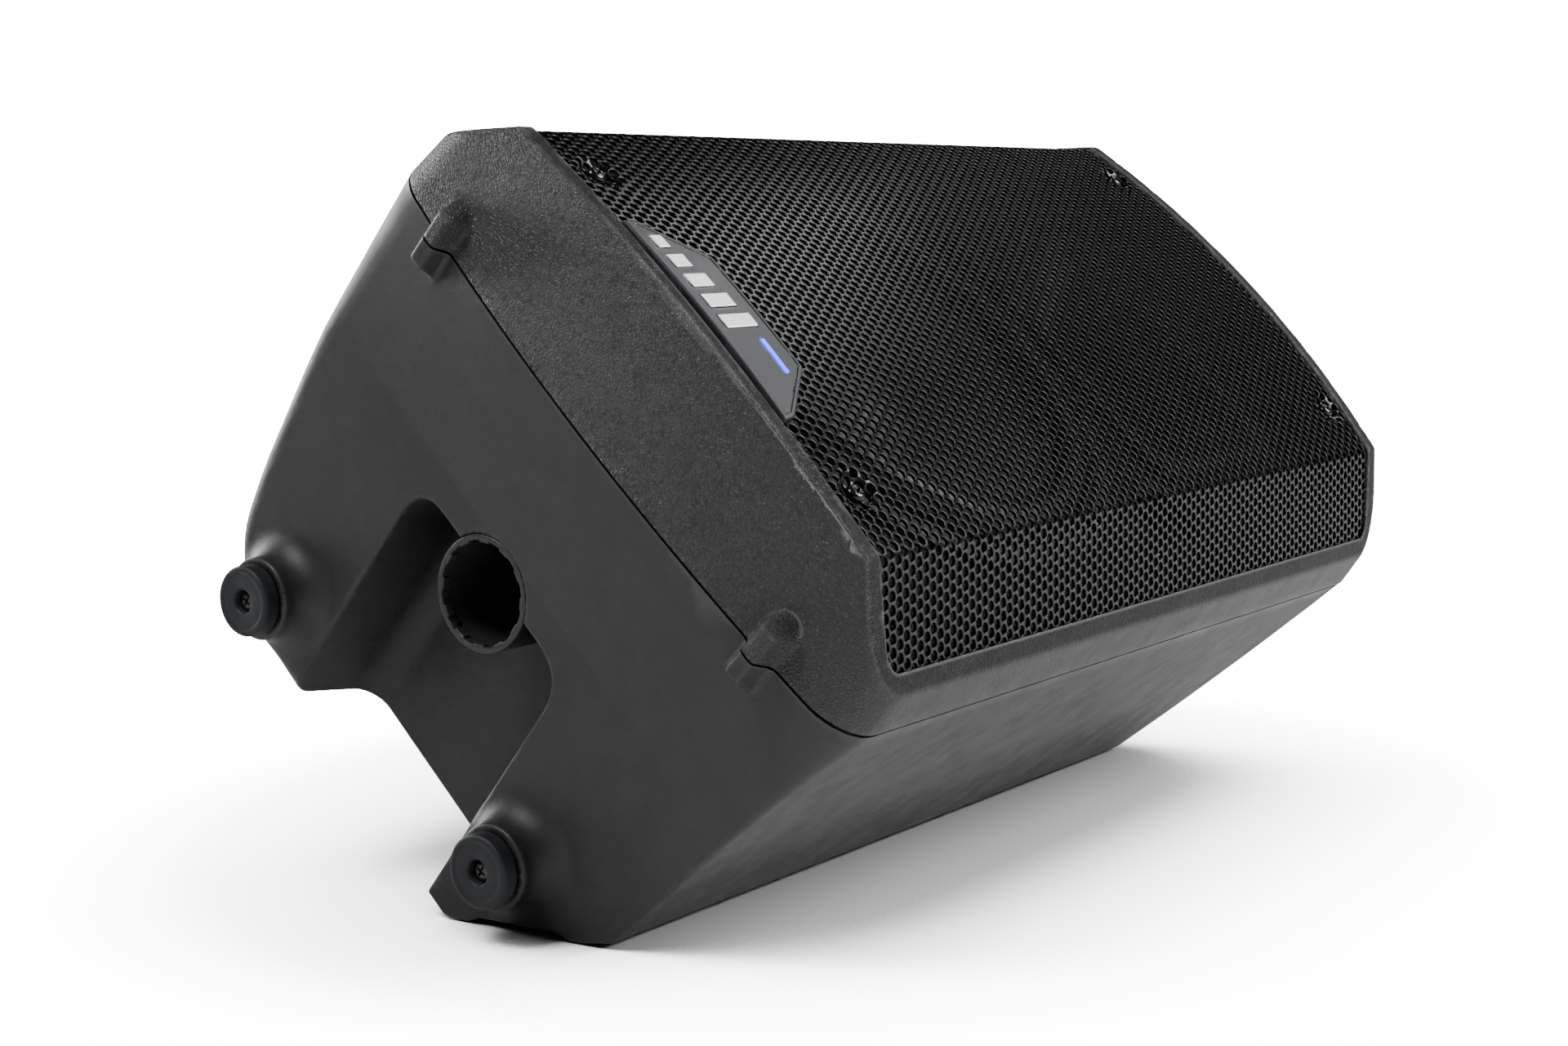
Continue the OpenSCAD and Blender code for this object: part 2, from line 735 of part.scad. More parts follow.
module amp_board() {
    color("#1f5a36") wedge_pose() {
        board(111, 194);
        for (x = [-30, 0, 28], y = [130, 172]) translate([x, y, 0]) disc(7, board_back + 1, board_back + 20);
        box([-45, 146, board_back + 1], [36, 156, board_back + 14]);
    }
}

module input_board() {
    color("#1f5a36") wedge_pose() {
        board(198, 322);
        for (x = [-32, 22], y = [220, 262, 300])
            box([x - 8, y - 5, board_back + 1], [x + 8, y + 5, board_back + 4]);
    }
}

flange_out = panel_out - 3;
latch_dy = 12.4;

module socket_body() {
    translate([0, 0, flange_out]) linear_extrude(3) rounded_rect(26, 31, 2.5);
    disc(11.8, panel_out - 0.1, board_back - 1);
}

module input_sockets() {
    color("#161617") wedge_pose() for (p = input_at) translate([p[0], p[1], 0]) difference() {
        socket_body();
        difference() {
            disc(9.6, flange_out - 1, -62);
            disc(7.4, flange_out + 2, -60);
        }
        disc(3.2, flange_out - 1, -60);
        for (a = [-60, 60, 180]) rotate(a) translate([0, 5.3, 0]) disc(1.4, flange_out, -66);
        box([-4.2, latch_dy - 2.2, flange_out - 1], [4.2, latch_dy + 2.2, panel_out + 1.4]);
    }
}

module input_latch(p) {
    color("#8f9196") at_panel(p)
        box([-4, latch_dy - 2, flange_out - 1.5], [4, latch_dy + 2, panel_out - 1.4]);
}

module input_latch_1() { input_latch(input_at[0]); }

module input_latch_2() { input_latch(input_at[1]); }

module output_socket() {
    color("#161617") at_panel(output_at) {
        difference() {
            socket_body();
            disc(9.8, flange_out - 1, -66);
        }
        for (a = [0, 120, 240]) rotate(a) translate([0, 4.6, 0]) disc(1.2, -80, -65);
    }
}

pot_low = panel_in + 10;
shaft_end = panel_out - 15.5;

module gain_pots() {
    color("#9a9b9e") wedge_pose() for (p = knob_at) translate([p[0], p[1], 0]) difference() {
        union() {
            box([-8, -8, panel_in + FIT], [8, 8, pot_low]);
            disc(3.4, panel_out - 4.2, panel_in + 1);
        }
        disc(2.95, panel_out - 5, pot_low - 2);
    }
}

module pot_nuts() {
    color("#b5b6b9") wedge_pose() for (p = knob_at) translate([p[0], p[1], panel_out - 2.2]) difference() {
        cylinder(r = 6, h = 2.2, $fn = 6);
        disc(3.45, -1, 4);
    }
}

module gain_shaft(p) { color("#b5b6b9") at_panel(p) disc(2.9, shaft_end, pot_low - 2.2); }

module gain_shaft_1() { gain_shaft(knob_at[0]); }

module gain_shaft_2() { gain_shaft(knob_at[1]); }

module gain_knob(p) {
    color("#141415") at_panel(p) difference() {
        union() {
            disc(knob_r, panel_out - 15, panel_out - 1);
            disc(knob_r - 1, panel_out - 16.5, panel_out - 14.9);
        }
        disc(2.92, panel_out - 15.6, panel_out);
        disc(7, panel_out - 5, panel_out);
        // pointer groove and finger flutes
        box([-0.6, 2, panel_out - 18], [0.6, knob_r + 1, panel_out - 16]);
        for (a = [15:30:345]) rotate(a)
            translate([0, knob_r + 0.6, 0]) disc(1.2, panel_out - 18, panel_out - 4);
    }
}

module gain_knob_1() { gain_knob(knob_at[0]); }

module gain_knob_2() { gain_knob(knob_at[1]); }

module mode_switch() {
    color("#2b2b2d") at_panel(mode_at) difference() {
        box([-6, -6, panel_in + FIT], [6, 6, panel_in + 9]);
        disc(4.5, panel_in - 1, panel_in + 5);
        disc(3.2, panel_in, panel_in + 8);
    }
}

module mode_button() {
    color("#d9d9d9") at_panel(mode_at) {
        disc(3, panel_out - 3.6, panel_in + 5);
        disc(4.2, panel_in + 0.4, panel_in + 1.6);
    }
}

module status_lights() {
    color("#66d08a") wedge_pose() for (p = light_at) translate([p[0], p[1], 0]) {
        disc(1.5, panel_out - 0.6, panel_in + 4);
        translate([0, 0, panel_out - 0.6]) sphere(r = 1.5);
        disc(2.3, panel_in + 0.1, panel_in + 1.4);
    }
}

rocker_z = panel_out + 4.4;
rocker_rest = 7;

module power_switch() {
    color("#121213") at_panel(rocker_at) difference() {
        union() {
            box([-11.4, -7.8, panel_out - 2], [11.4, 7.8, panel_out]);
            box([-9.5, -6.4, panel_out - 0.1], [9.5, 6.4, -62]);
        }
        box([-8.4, -5.2, panel_out - 3], [8.4, 5.2, -70]);
        translate([0, 6.2, rocker_z]) rotate([90, 0, 0]) cylinder(r = 1.25, h = 12.4);
    }
}

module power_rocker() {
    color("#0f0f10") at_panel(rocker_at) translate([0, 0, rocker_z])
        rotate([0, -rocker_rest, 0]) rotate([90, 0, 0]) {
            translate([0, 0, -5]) linear_extrude(10)
                polygon([[7.4, -6.9], [6.2, 1.5], [2, 3.5], [-2, 3.5], [-6.2, 1.5], [-7.4, -6.9], [0, -5.6]]);
            disc(1.2, -6.1, 6.1);
        }
}

inlet_out = panel_out - 2.5;

module mains_inlet() {
    color("#121213") at_panel(inlet_at) {
        difference() {
            union() {
                translate([0, 2, inlet_out]) linear_extrude(2.5) rounded_rect(38, 34, 3);
                box([-14.5, -12, panel_out - 0.1], [14.5, 16.5, -58]);
            }
            translate([0, 0, inlet_out - 1]) linear_extrude(19.5)
                polygon([[-12, 6], [-12, -6.5], [-8.5, -10], [8.5, -10], [12, -6.5], [12, 6]]);
            box([-10.2, 8.3, inlet_out - 1], [10.2, 15.3, -64]);
        }
        for (p = [[-7, -3.5], [7, -3.5], [0, 0.5]])
            translate([p[0], p[1], 0]) box([-1, -2, -80], [1, 2, -67]);
    }
}

module fuse_drawer() {
    color("#18181a") at_panel(inlet_at) {
        box([-10, 8.5, inlet_out - 1], [10, 15.1, -64.5]);
        box([-11, 8, inlet_out - 1.8], [11, 15.7, inlet_out - 0.1]);
    }
}

module speaker_leads() {
    color("#a33a2f") wedge_pose() {
        wire([[40, 150, board_back + 2.8], [62, 158, -20], [70, 150, 30], [66, 144, 46]], 1.2);
        wire([[40, 165, board_back + 2.8], [66, 205, -20], [60, 270, 10], [44, 300, 17]], 1.2);
    }
}

rear_shell();
front_baffle();
seam_gasket();
baffle_screws();
grille();
grille_screws();
badge_plate();
badge_emblem();
badge_light();
pole_socket();
rear_feet();
foot_screws();
carry_handle();
handle_screws();
woofer_gasket();
woofer_basket();
woofer_screws();
woofer_trim_ring();
woofer_surround();
woofer_cone();
woofer_dust_cap();
woofer_voice_coil();
woofer_spider();
woofer_top_plate();
woofer_magnet();
woofer_back_plate();
horn();
horn_screws();
tweeter_motor();
tweeter_diaphragm();
tweeter_cover();
port_tubes();
damping_pads();
amp_panel();
panel_gasket();
panel_screws();
heat_sink();
heat_sink_screws();
power_board();
amp_board();
input_board();
input_sockets();
input_latch_1();
input_latch_2();
output_socket();
gain_pots();
pot_nuts();
gain_shaft_1();
gain_shaft_2();
gain_knob_1();
gain_knob_2();
mode_switch();
mode_button();
status_lights();
power_switch();
power_rocker();
mains_inlet();
fuse_drawer();
speaker_leads();
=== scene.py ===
"""Looks of the stage monitor wedge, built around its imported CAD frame.

Shapes are described in the cabinet's own frame, in millimetres: x across towards the side it lies
on, y along it from the pole socket's mouth, z from its back towards the grille. to_row() turns
that into the row frame, in metres, where the wedge lies on its monitor facet.
Moulded pieces are distance fields, meshed by sculpt(); turned pieces come from lathe().
"""
import functools
import math
from concurrent.futures import ThreadPoolExecutor

import bmesh
import bpy
import numpy as np
import openvdb
from mathutils import Matrix, Vector


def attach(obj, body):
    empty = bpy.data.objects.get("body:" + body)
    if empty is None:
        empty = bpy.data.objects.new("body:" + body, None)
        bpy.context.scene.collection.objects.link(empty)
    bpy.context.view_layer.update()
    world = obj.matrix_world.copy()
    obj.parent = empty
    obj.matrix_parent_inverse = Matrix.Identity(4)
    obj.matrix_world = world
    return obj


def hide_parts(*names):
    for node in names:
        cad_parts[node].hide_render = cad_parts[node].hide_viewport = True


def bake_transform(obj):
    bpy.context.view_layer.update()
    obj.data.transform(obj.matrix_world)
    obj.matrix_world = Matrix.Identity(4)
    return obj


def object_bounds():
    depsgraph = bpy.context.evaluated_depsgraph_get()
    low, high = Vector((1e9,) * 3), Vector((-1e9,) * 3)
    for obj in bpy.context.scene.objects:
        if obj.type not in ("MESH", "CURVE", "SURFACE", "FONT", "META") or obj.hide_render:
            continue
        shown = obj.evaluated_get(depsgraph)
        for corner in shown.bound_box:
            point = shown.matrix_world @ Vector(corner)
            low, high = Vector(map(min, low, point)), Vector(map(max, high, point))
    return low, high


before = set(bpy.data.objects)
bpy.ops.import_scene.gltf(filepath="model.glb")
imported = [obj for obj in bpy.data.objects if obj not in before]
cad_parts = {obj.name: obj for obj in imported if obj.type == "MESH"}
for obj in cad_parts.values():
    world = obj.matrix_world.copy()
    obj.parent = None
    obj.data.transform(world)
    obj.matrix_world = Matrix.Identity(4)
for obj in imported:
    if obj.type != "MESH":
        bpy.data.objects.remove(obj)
cad_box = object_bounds()
POOL = ThreadPoolExecutor(4)

# --- driving dimensions, mm

HALF_W = 132.3
SEAM_Z = 78.0
SEAM_GAP = 0.9
SAW_SPARE = 5.0  # how far each moulding runs past the seam before it is sawn
BACK_Z = 102.4
FRONT_Z = 134.5
FAR_Y = 412.9
ENDS_SUM = 406.9
WALL = 3.5
CHEEK = (130.3, 93.7)
BROW = (97.0, 127.0)
SIDE_SLOPE = 0.1054
POLE_R = 18.0
FOOT_R = 13.1
FOOT_END = 19.4
FEET = [(-66.6, -77.0), (73.4, -57.3)]
TOE_X = 92.8
TOE_END = 8.1
BOARD_Z = 104.0
WOOFER_Y = 140.0
HORN_Y = 310.0
AMP = dict(x0=-64.0, x1=54.0, y0=58.0, y1=334.0)
LEDGE_Z = -80.0
HANDLE_Y = 394.0
HANDLE_SCREW_Z = (-6.0, 6.0)
HANDLE_HALF = 61.95
PORTS = [(-94.0, 240.0), (94.0, 240.0)]
KNOBS = [(-32.0, 296.0), (22.0, 296.0)]
GRILLE_SCREWS = [(s * 72.9, y) for s in (-1, 1) for y in (23.9, 385.5)]
BAFFLE_SCREWS = [(s * 108.0, y) for s in (-1, 1) for y in (30.0, 208.0, 372.0)]

# --- cabinet frame to row frame

HALF = math.sqrt(0.5)
TO_ROW = np.array([[0, 1, 0], [-HALF, 0, -HALF], [-HALF, 0, HALF]])


def to_row(points):
    """Cabinet millimetres to row metres."""
    return np.asarray(points, float) @ TO_ROW.T * 0.001


def turn_to_row(vectors):
    return np.asarray(vectors, float) @ TO_ROW.T


# --- distance field tools


def smax(a, b, r):
    """Intersection of two fields whose shared edge is rounded to radius r."""
    return np.minimum(np.maximum(a, b), -r) + np.hypot(np.maximum(a + r, 0), np.maximum(b + r, 0))


def smin(a, b, r):
    """Union of two fields with a fillet of radius r between them."""
    return -smax(-a, -b, r)


def cut(a, b, r):
    """Field a less field b, with the rim rounded to radius r."""
    return smax(a, -b, r)


def bore(field, u, v, along, radius, start, end, r):
    """The field with a round hole through it; u and v are measured from the hole's axis."""
    return cut(field, rod_field(np.hypot(u, v), along, radius, start, end), r)


def fillet(points, radii):
    """A closed outline whose corners are rounded, each to its own radius."""
    out = []
    count = len(points)
    for i, (corner, radius) in enumerate(zip(points, radii)):
        p = np.array(corner, float)
        back = np.array(points[i - 1], float) - p
        ahead = np.array(points[(i + 1) % count], float) - p
        back_len, ahead_len = np.linalg.norm(back), np.linalg.norm(ahead)
        back, ahead = back / back_len, ahead / ahead_len
        half = math.acos(np.clip(back @ ahead, -1, 1)) / 2
        reach = min(radius / math.tan(half), 0.49 * back_len, 0.49 * ahead_len)
        if radius <= 0 or half > 1.5707:
            out.append(p)
            continue
        a, b = p + back * reach, p + ahead * reach
        steps = 4 if radius < 4 else 8
        for k in range(steps + 1):
            t = k / steps
            out.append((1 - t) ** 2 * a + 2 * t * (1 - t) * p + t * t * b)
    return np.array(out)


def polygon_field(points, u, v):
    """Signed distance to a closed outline in the plane of u and v."""
    best = None
    inside = None
    points = np.asarray(points, float).tolist()
    for i in range(len(points)):
        (ax, ay), (bx, by) = points[i - 1], points[i]
        ex, ey = bx - ax, by - ay
        wx, wy = u - ax, v - ay
        t = np.clip((wx * ex + wy * ey) / (ex * ex + ey * ey), 0, 1)
        d = (wx - ex * t) ** 2 + (wy - ey * t) ** 2
        best = d if best is None else np.minimum(best, d)
        crossing = ((ay > v) != (by > v)) & (u < (bx - ax) * (v - ay) / ((by - ay) or 1e-9) + ax)
        inside = crossing if inside is None else inside ^ crossing
    return np.where(inside, -1, 1) * np.sqrt(best)


def box_field(x, y, z, low, high, r=0.0):
    """Signed distance to a box with corners rounded to r."""
    q = [np.abs(p - (lo + hi) / 2) - (hi - lo) / 2 + r for p, lo, hi in zip((x, y, z), low, high)]
    outer = np.sqrt(np.maximum(q[0], 0) ** 2 + np.maximum(q[1], 0) ** 2 + np.maximum(q[2], 0) ** 2)
    return outer + np.minimum(np.maximum(np.maximum(q[0], q[1]), q[2]), 0) - r


def rect_field(u, v, half_u, half_v, r):
    qu, qv = np.abs(u) - half_u + r, np.abs(v) - half_v + r
    return np.hypot(np.maximum(qu, 0), np.maximum(qv, 0)) + np.minimum(np.maximum(qu, qv), 0) - r


def rod_field(radial, along, radius, start, end, r=0.0):
    """Signed distance to a round bar from start to end, its rims rounded to r."""
    mid, half = (start + end) / 2, (end - start) / 2
    qa, qb = radial - radius + r, np.abs(along - mid) - half + r
    return np.hypot(np.maximum(qa, 0), np.maximum(qb, 0)) + np.minimum(np.maximum(qa, qb), 0) - r


def sample(shape, p):
    """The field at each point, worked out in parallel."""
    parts = np.array_split(p, max(1, len(p) // 20000))
    return np.concatenate(list(POOL.map(lambda q: shape(*q.T), parts)))


def gradient(shape, p, step=0.05):
    out = np.empty_like(p)
    for k in range(3):
        d = np.zeros(3)
        d[k] = step
        out[:, k] = (sample(shape, p + d) - sample(shape, p - d)) / (2 * step)
    return out


def voxels(shape, axes, far, voxel, block=28):
    """The field on a grid, clipped to far.

    Blocks that no surface can reach are filled without working them out."""
    starts = [np.arange(0, len(a), block) for a in axes]
    mids = [a[np.minimum(s + block // 2, len(a) - 1)] for a, s in zip(axes, starts)]
    rough = shape(mids[0][:, None, None], mids[1][None, :, None], mids[2][None, None, :])
    rough = np.broadcast_to(rough, [len(m) for m in mids])
    # half a block's diagonal, with room for fields that change faster than distance
    near = 1.5 * block * voxel * math.sqrt(3) / 2
    out = np.empty([len(a) for a in axes], np.float32)

    def fill(index):
        part = tuple(slice(s[i], s[i] + block) for s, i in zip(starts, index))
        if abs(rough[index]) > near:
            out[part] = math.copysign(far, rough[index])
            return
        x, y, z = (a[p].astype(np.float32) for a, p in zip(axes, part))
        out[part] = np.clip(shape(x[:, None, None], y[None, :, None], z[None, None, :]), -far, far)

    list(POOL.map(fill, list(np.ndindex(rough.shape))))
    return out


def surface(shape, low, high, voxel, flat=0.04):
    """Points, faces and normals of the closed surface where shape(x, y, z) is 0, between low and high."""
    voxel = voxel * 1.0
    low = np.array(low, float) - 3 * voxel
    count = np.ceil((np.array(high, float) + 3 * voxel - low) / voxel).astype(int) + 1
    axes = [low[k] + voxel * np.arange(count[k]) for k in range(3)]
    grid = openvdb.FloatGrid(3 * voxel)
    grid.copyFromArray(voxels(shape, axes, 3 * voxel, voxel))
    points, tris, quads = grid.convertToPolygons(0, flat)
    p = low + points.astype(float) * voxel
    slope = gradient(shape, p)
    for _ in range(2):
        step = sample(shape, p)[:, None] * slope / np.maximum((slope * slope).sum(1), 0.2)[:, None]
        p = p - np.clip(step, -0.7 * voxel, 0.7 * voxel)
    normals = gradient(shape, p)
    normals /= np.maximum(np.linalg.norm(normals, axis=1), 1e-9)[:, None]
    return p, tris.tolist() + quads.tolist(), normals


# --- mesh tools


def piece(name, points, faces, finish, normals=None, body="cabinet", slot=None, replaces=()):
    """A new object from cabinet points, riding on a body, or on none, and standing for CAD nodes."""
    mesh = bpy.data.meshes.new(name)
    mesh.from_pydata(to_row(points).tolist(), [], faces)
    mesh.validate()
    mesh.shade_smooth()
    if normals is not None and len(normals) == len(mesh.vertices):
        mesh.normals_split_custom_set_from_vertices(turn_to_row(normals).tolist())
    elif normals is not None:
        mesh.normals_split_custom_set(turn_to_row(normals).tolist())
    mesh.materials.append(finish)
    obj = bpy.data.objects.new(name, mesh)
    bpy.context.scene.collection.objects.link(obj)
    if body:
        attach(obj, body)
    if replaces:
        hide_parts(*replaces)
    return obj


def sculpt(name, shape, low, high, voxel, finish, flat=0.04, saw=None, **how):
    """A moulded piece. saw, if given, is a height and the side, 1 or -1, that is cut off square there."""
    points, faces, normals = surface(shape, low, high, voxel, flat)
    if saw:
        points, faces, normals = sawn(shape, points, faces, *saw)
    return piece(name, points, faces, finish, normals=normals, **how)


def sawn(shape, points, faces, height, side):
    """The surface cut square at z = height, less what lies to the given side, with a flat crisp rim.

    The normals it gives are one for each corner of each face."""
    mesh = bpy.data.meshes.new("sawn")
    mesh.from_pydata(points.tolist(), [], faces)
    bm = bmesh.new()
    bm.from_mesh(mesh)
    bpy.data.meshes.remove(mesh)
    everything = bm.verts[:] + bm.edges[:] + bm.faces[:]
    bmesh.ops.bisect_plane(bm, geom=everything, dist=1e-4, plane_co=(0, 0, height), plane_no=(0, 0, side),
                           clear_outer=True)
    rim = [edge for edge in bm.edges if edge.is_boundary]
    made = bmesh.ops.triangle_fill(bm, use_beauty=True, edges=rim, normal=(0, 0, side))["geom"]
    lid = {face for face in made if isinstance(face, bmesh.types.BMFace)}
    bm.verts.index_update()
    points = np.array([v.co for v in bm.verts])
    normals = gradient(shape, points)
    normals /= np.maximum(np.linalg.norm(normals, axis=1), 1e-9)[:, None]
    faces, corners = [], []
    for face in bm.faces:
        index = [v.index for v in face.verts]
        if face in lid and face.normal.z * side < 0:
            index.reverse()
        faces.append(index)
        corners += [(0, 0, side)] * len(index) if face in lid else normals[index].tolist()
    bm.free()
    return points, faces, np.array(corners)


def axes_about(axis):
    """Two directions square to axis, and axis itself, right handed."""
    axis = np.array(axis, float)
    side = np.array([1.0, 0, 0]) if abs(axis[0]) < 0.9 else np.array([0, 1.0, 0])
    side = side - axis * (side @ axis)
    side /= np.linalg.norm(side)
    return side, np.cross(axis, side), axis


def turned(profile, turns=96, ripple=None):
    """Points and faces of a closed (radius, height) outline turned about z.

    ripple(angle, radius, height) may return a new radius."""
    profile = np.asarray(profile, float)
    n = len(profile)
    angles = np.arange(turns)[:, None] * 2 * math.pi / turns
    r = np.repeat(profile[None, :, 0], turns, 0)
    h = np.repeat(profile[None, :, 1], turns, 0)
    if ripple:
        r = ripple(angles, r, h)
    points = np.stack([r * np.cos(angles), r * np.sin(angles), h], 2).reshape(-1, 3)
    faces = []
    for i in range(turns):
        a, b = i * n, ((i + 1) % turns) * n
        faces += [(a + k, b + k, b + (k + 1) % n, a + (k + 1) % n) for k in range(n)]
    return points, faces


def placed(parts, centres, axis, size=(1, 1, 1)):
    """Copies of (points, faces) parts at each centre, their z along axis, as one set of points and faces."""
    frame_axes = np.stack(axes_about(axis))
    points, faces, count = [], [], 0
    for centre in centres:
        for p, f in parts:
            points.append((np.asarray(p) * size) @ frame_axes + centre)
            faces += [tuple(count + k for k in face) for face in f]
            count += len(p)
    return np.concatenate(points), faces


def lathe(name, profile, centres, axis, finish, turns=96, ripple=None, angle=40, **how):
    """A piece turned from a (radius, height) outline, one copy at each centre."""
    obj = piece(name, *placed([turned(profile, turns, ripple)], centres, axis), finish, **how)
    tidy(obj, angle)
    return obj


def tidy(obj, angle=40):
    """Merges doubled points, drops faces without area, points faces outwards and sets smooth edges."""
    bm = bmesh.new()
    bm.from_mesh(obj.data)
    bmesh.ops.remove_doubles(bm, verts=bm.verts, dist=1e-6)
    bmesh.ops.dissolve_degenerate(bm, edges=bm.edges, dist=1e-7)
    bmesh.ops.recalc_face_normals(bm, faces=bm.faces)
    bm.to_mesh(obj.data)
    bm.free()
    obj.data.shade_smooth()
    obj.data.set_sharp_from_angle(angle=math.radians(angle))


# --- materials


def times(colour, factor):
    return tuple(min(1.0, c * factor) for c in colour)


class Nodes:
    """A short way to write a material's nodes."""

    def __init__(self, name, world=None):
        self.material = world or bpy.data.materials.new(name)
        self.material.use_nodes = True
        self.tree = self.material.node_tree
        self.bsdf = self.tree.nodes.get("Principled BSDF")
        self.place = self.tree.nodes.new("ShaderNodeTexCoord").outputs["Generated" if world else "Object"]

    def node(self, kind, **inputs):
        node = self.tree.nodes.new("ShaderNode" + kind)
        for key, value in inputs.items():
            key = key.replace("_", " ")
            if hasattr(node, key.lower().replace(" ", "_")) and key not in node.inputs:
                setattr(node, key.lower().replace(" ", "_"), value)
            else:
                self.feed(node.inputs[key], value)
        return node

    def feed(self, socket, value):
        if isinstance(value, bpy.types.NodeSocket):
            self.tree.links.new(value, socket)
        else:
            socket.default_value = value

    def noise(self, scale, detail=3.0, roughness=0.55, vector=None):
        return self.node("TexNoise", Vector=vector or self.place, Scale=scale, Detail=detail,
                         Roughness=roughness).outputs["Fac"]

    def cells(self, scale, feature="F1", vector=None):
        node = self.node("TexVoronoi", Vector=vector or self.place, Scale=scale)
        node.feature = feature
        return node.outputs["Distance"]

    def math(self, operation, a, b=0.0, c=0.0):
        node = self.tree.nodes.new("ShaderNodeMath")
        node.operation = operation
        for socket, value in zip(node.inputs, (a, b, c)):
            self.feed(socket, value)
        return node.outputs[0]

    def product(self, a, b):
        return self.math("MULTIPLY", a, b)

    def span(self, value, low, high, start=0.0, end=1.0):
        """value, from low..high, to start..end, clamped."""
        node = self.tree.nodes.new("ShaderNodeMapRange")
        names = ("Value", "From Min", "From Max", "To Min", "To Max")
        for key, v in zip(names, (value, low, high, start, end)):
            self.feed(node.inputs[key], v)
        return node.outputs[0]

    def mix(self, factor, a, b):
        node = self.tree.nodes.new("ShaderNodeMix")
        node.data_type = "RGBA"
        self.feed(node.inputs["Factor"], factor)
        for key, v in (("A", a), ("B", b)):
            socket = [s for s in node.inputs if s.name == key and s.type == "RGBA"][0]
            self.feed(socket, v if isinstance(v, bpy.types.NodeSocket) else (*v, 1.0))
        return [s for s in node.outputs if s.type == "RGBA"][0]

    def mottled(self, colour, low, high, scale, detail):
        """The colour, varied in soft patches between low and high times itself."""
        patches = self.span(self.noise(scale, detail), 0.3, 0.7)
        return self.mix(patches, times(colour, low), times(colour, high))

    def bump(self, height, distance_mm):
        return self.node("Bump", Height=height, Distance=distance_mm * 0.001, Strength=1.0).outputs["Normal"]

    def worn_edges(self, low=0.52, high=0.6):
        pointy = self.tree.nodes.new("ShaderNodeNewGeometry").outputs["Pointiness"]
        return self.span(pointy, low, high)

    def finish(self, colour=None, roughness=None, normal=None, metallic=None, **more):
        names = ("Base Color", "Roughness", "Normal", "Metallic")
        for key, value in zip(names, (colour, roughness, normal, metallic)):
            if value is not None:
                self.feed(self.bsdf.inputs[key], value if not isinstance(value, tuple) else (*value, 1.0))
        for key, value in more.items():
            self.feed(self.bsdf.inputs[key.replace("_", " ")], value)
        return self.material


FORWARD = (0.0, -0.7071, 0.7071)
# in metres along the wedge: past the toes, and the reach of the near lip
PAST_TOES = (0.0, 0.003)
NEAR_LIP = (0.010, 0.014)
# across it: the ends of the near lip's painted highlight, which runs along its lower half
LIP_HIGHLIGHT_ABOVE = (-0.112, -0.090)
LIP_HIGHLIGHT_BELOW = (-0.1575, -0.154)
SHINE = 0.42


def front_shade_and_highlight(n, tone, colour, fine):
    """Paints shade on what faces the front and lowers its specular level there. Returns the tone, the
    specular level and how pale each place is, from worn edges and a painted highlight.

    The rim between the near end and the front gets a painted highlight along its lower half."""
    facing = n.node("VectorMath", operation="DOT_PRODUCT")
    n.feed(facing.inputs[0], n.tree.nodes.new("ShaderNodeTexCoord").outputs["Normal"])
    facing.inputs[1].default_value = FORWARD
    facing = facing.outputs["Value"]
    along, across = n.node("SeparateXYZ", Vector=n.place).outputs[:2]
    past_toes = n.span(along, *PAST_TOES)
    # painted shade: what faces the front, past the toes, is darkened
    ahead = n.product(n.span(facing, 0.45, 0.68), past_toes)
    # painted highlight: a pale, sparkling line along the lower half of the near lip's rim
    rim = n.product(n.span(facing, 0.25, 0.36), n.span(facing, 0.5, 0.66, 1.0, 0.0))
    for limit in (past_toes, n.span(along, *NEAR_LIP, 1.0, 0.0), n.span(across, *LIP_HIGHLIGHT_ABOVE, 1.0, 0.0),
                  n.span(across, *LIP_HIGHLIGHT_BELOW), n.span(fine, 0.3, 0.6, 0.4, 1.6)):
        rim = n.product(rim, limit)
    # pale on front-facing edges, partly wear and partly painted highlight, plus the painted lip highlight
    wear_and_highlight = n.math("ADD", n.product(n.worn_edges(), n.span(facing, 0.12, 0.4)), rim)
    return n.mix(ahead, tone, times(colour, 0.25)), n.span(ahead, 0.0, 1.0, SHINE, 0.14), wear_and_highlight


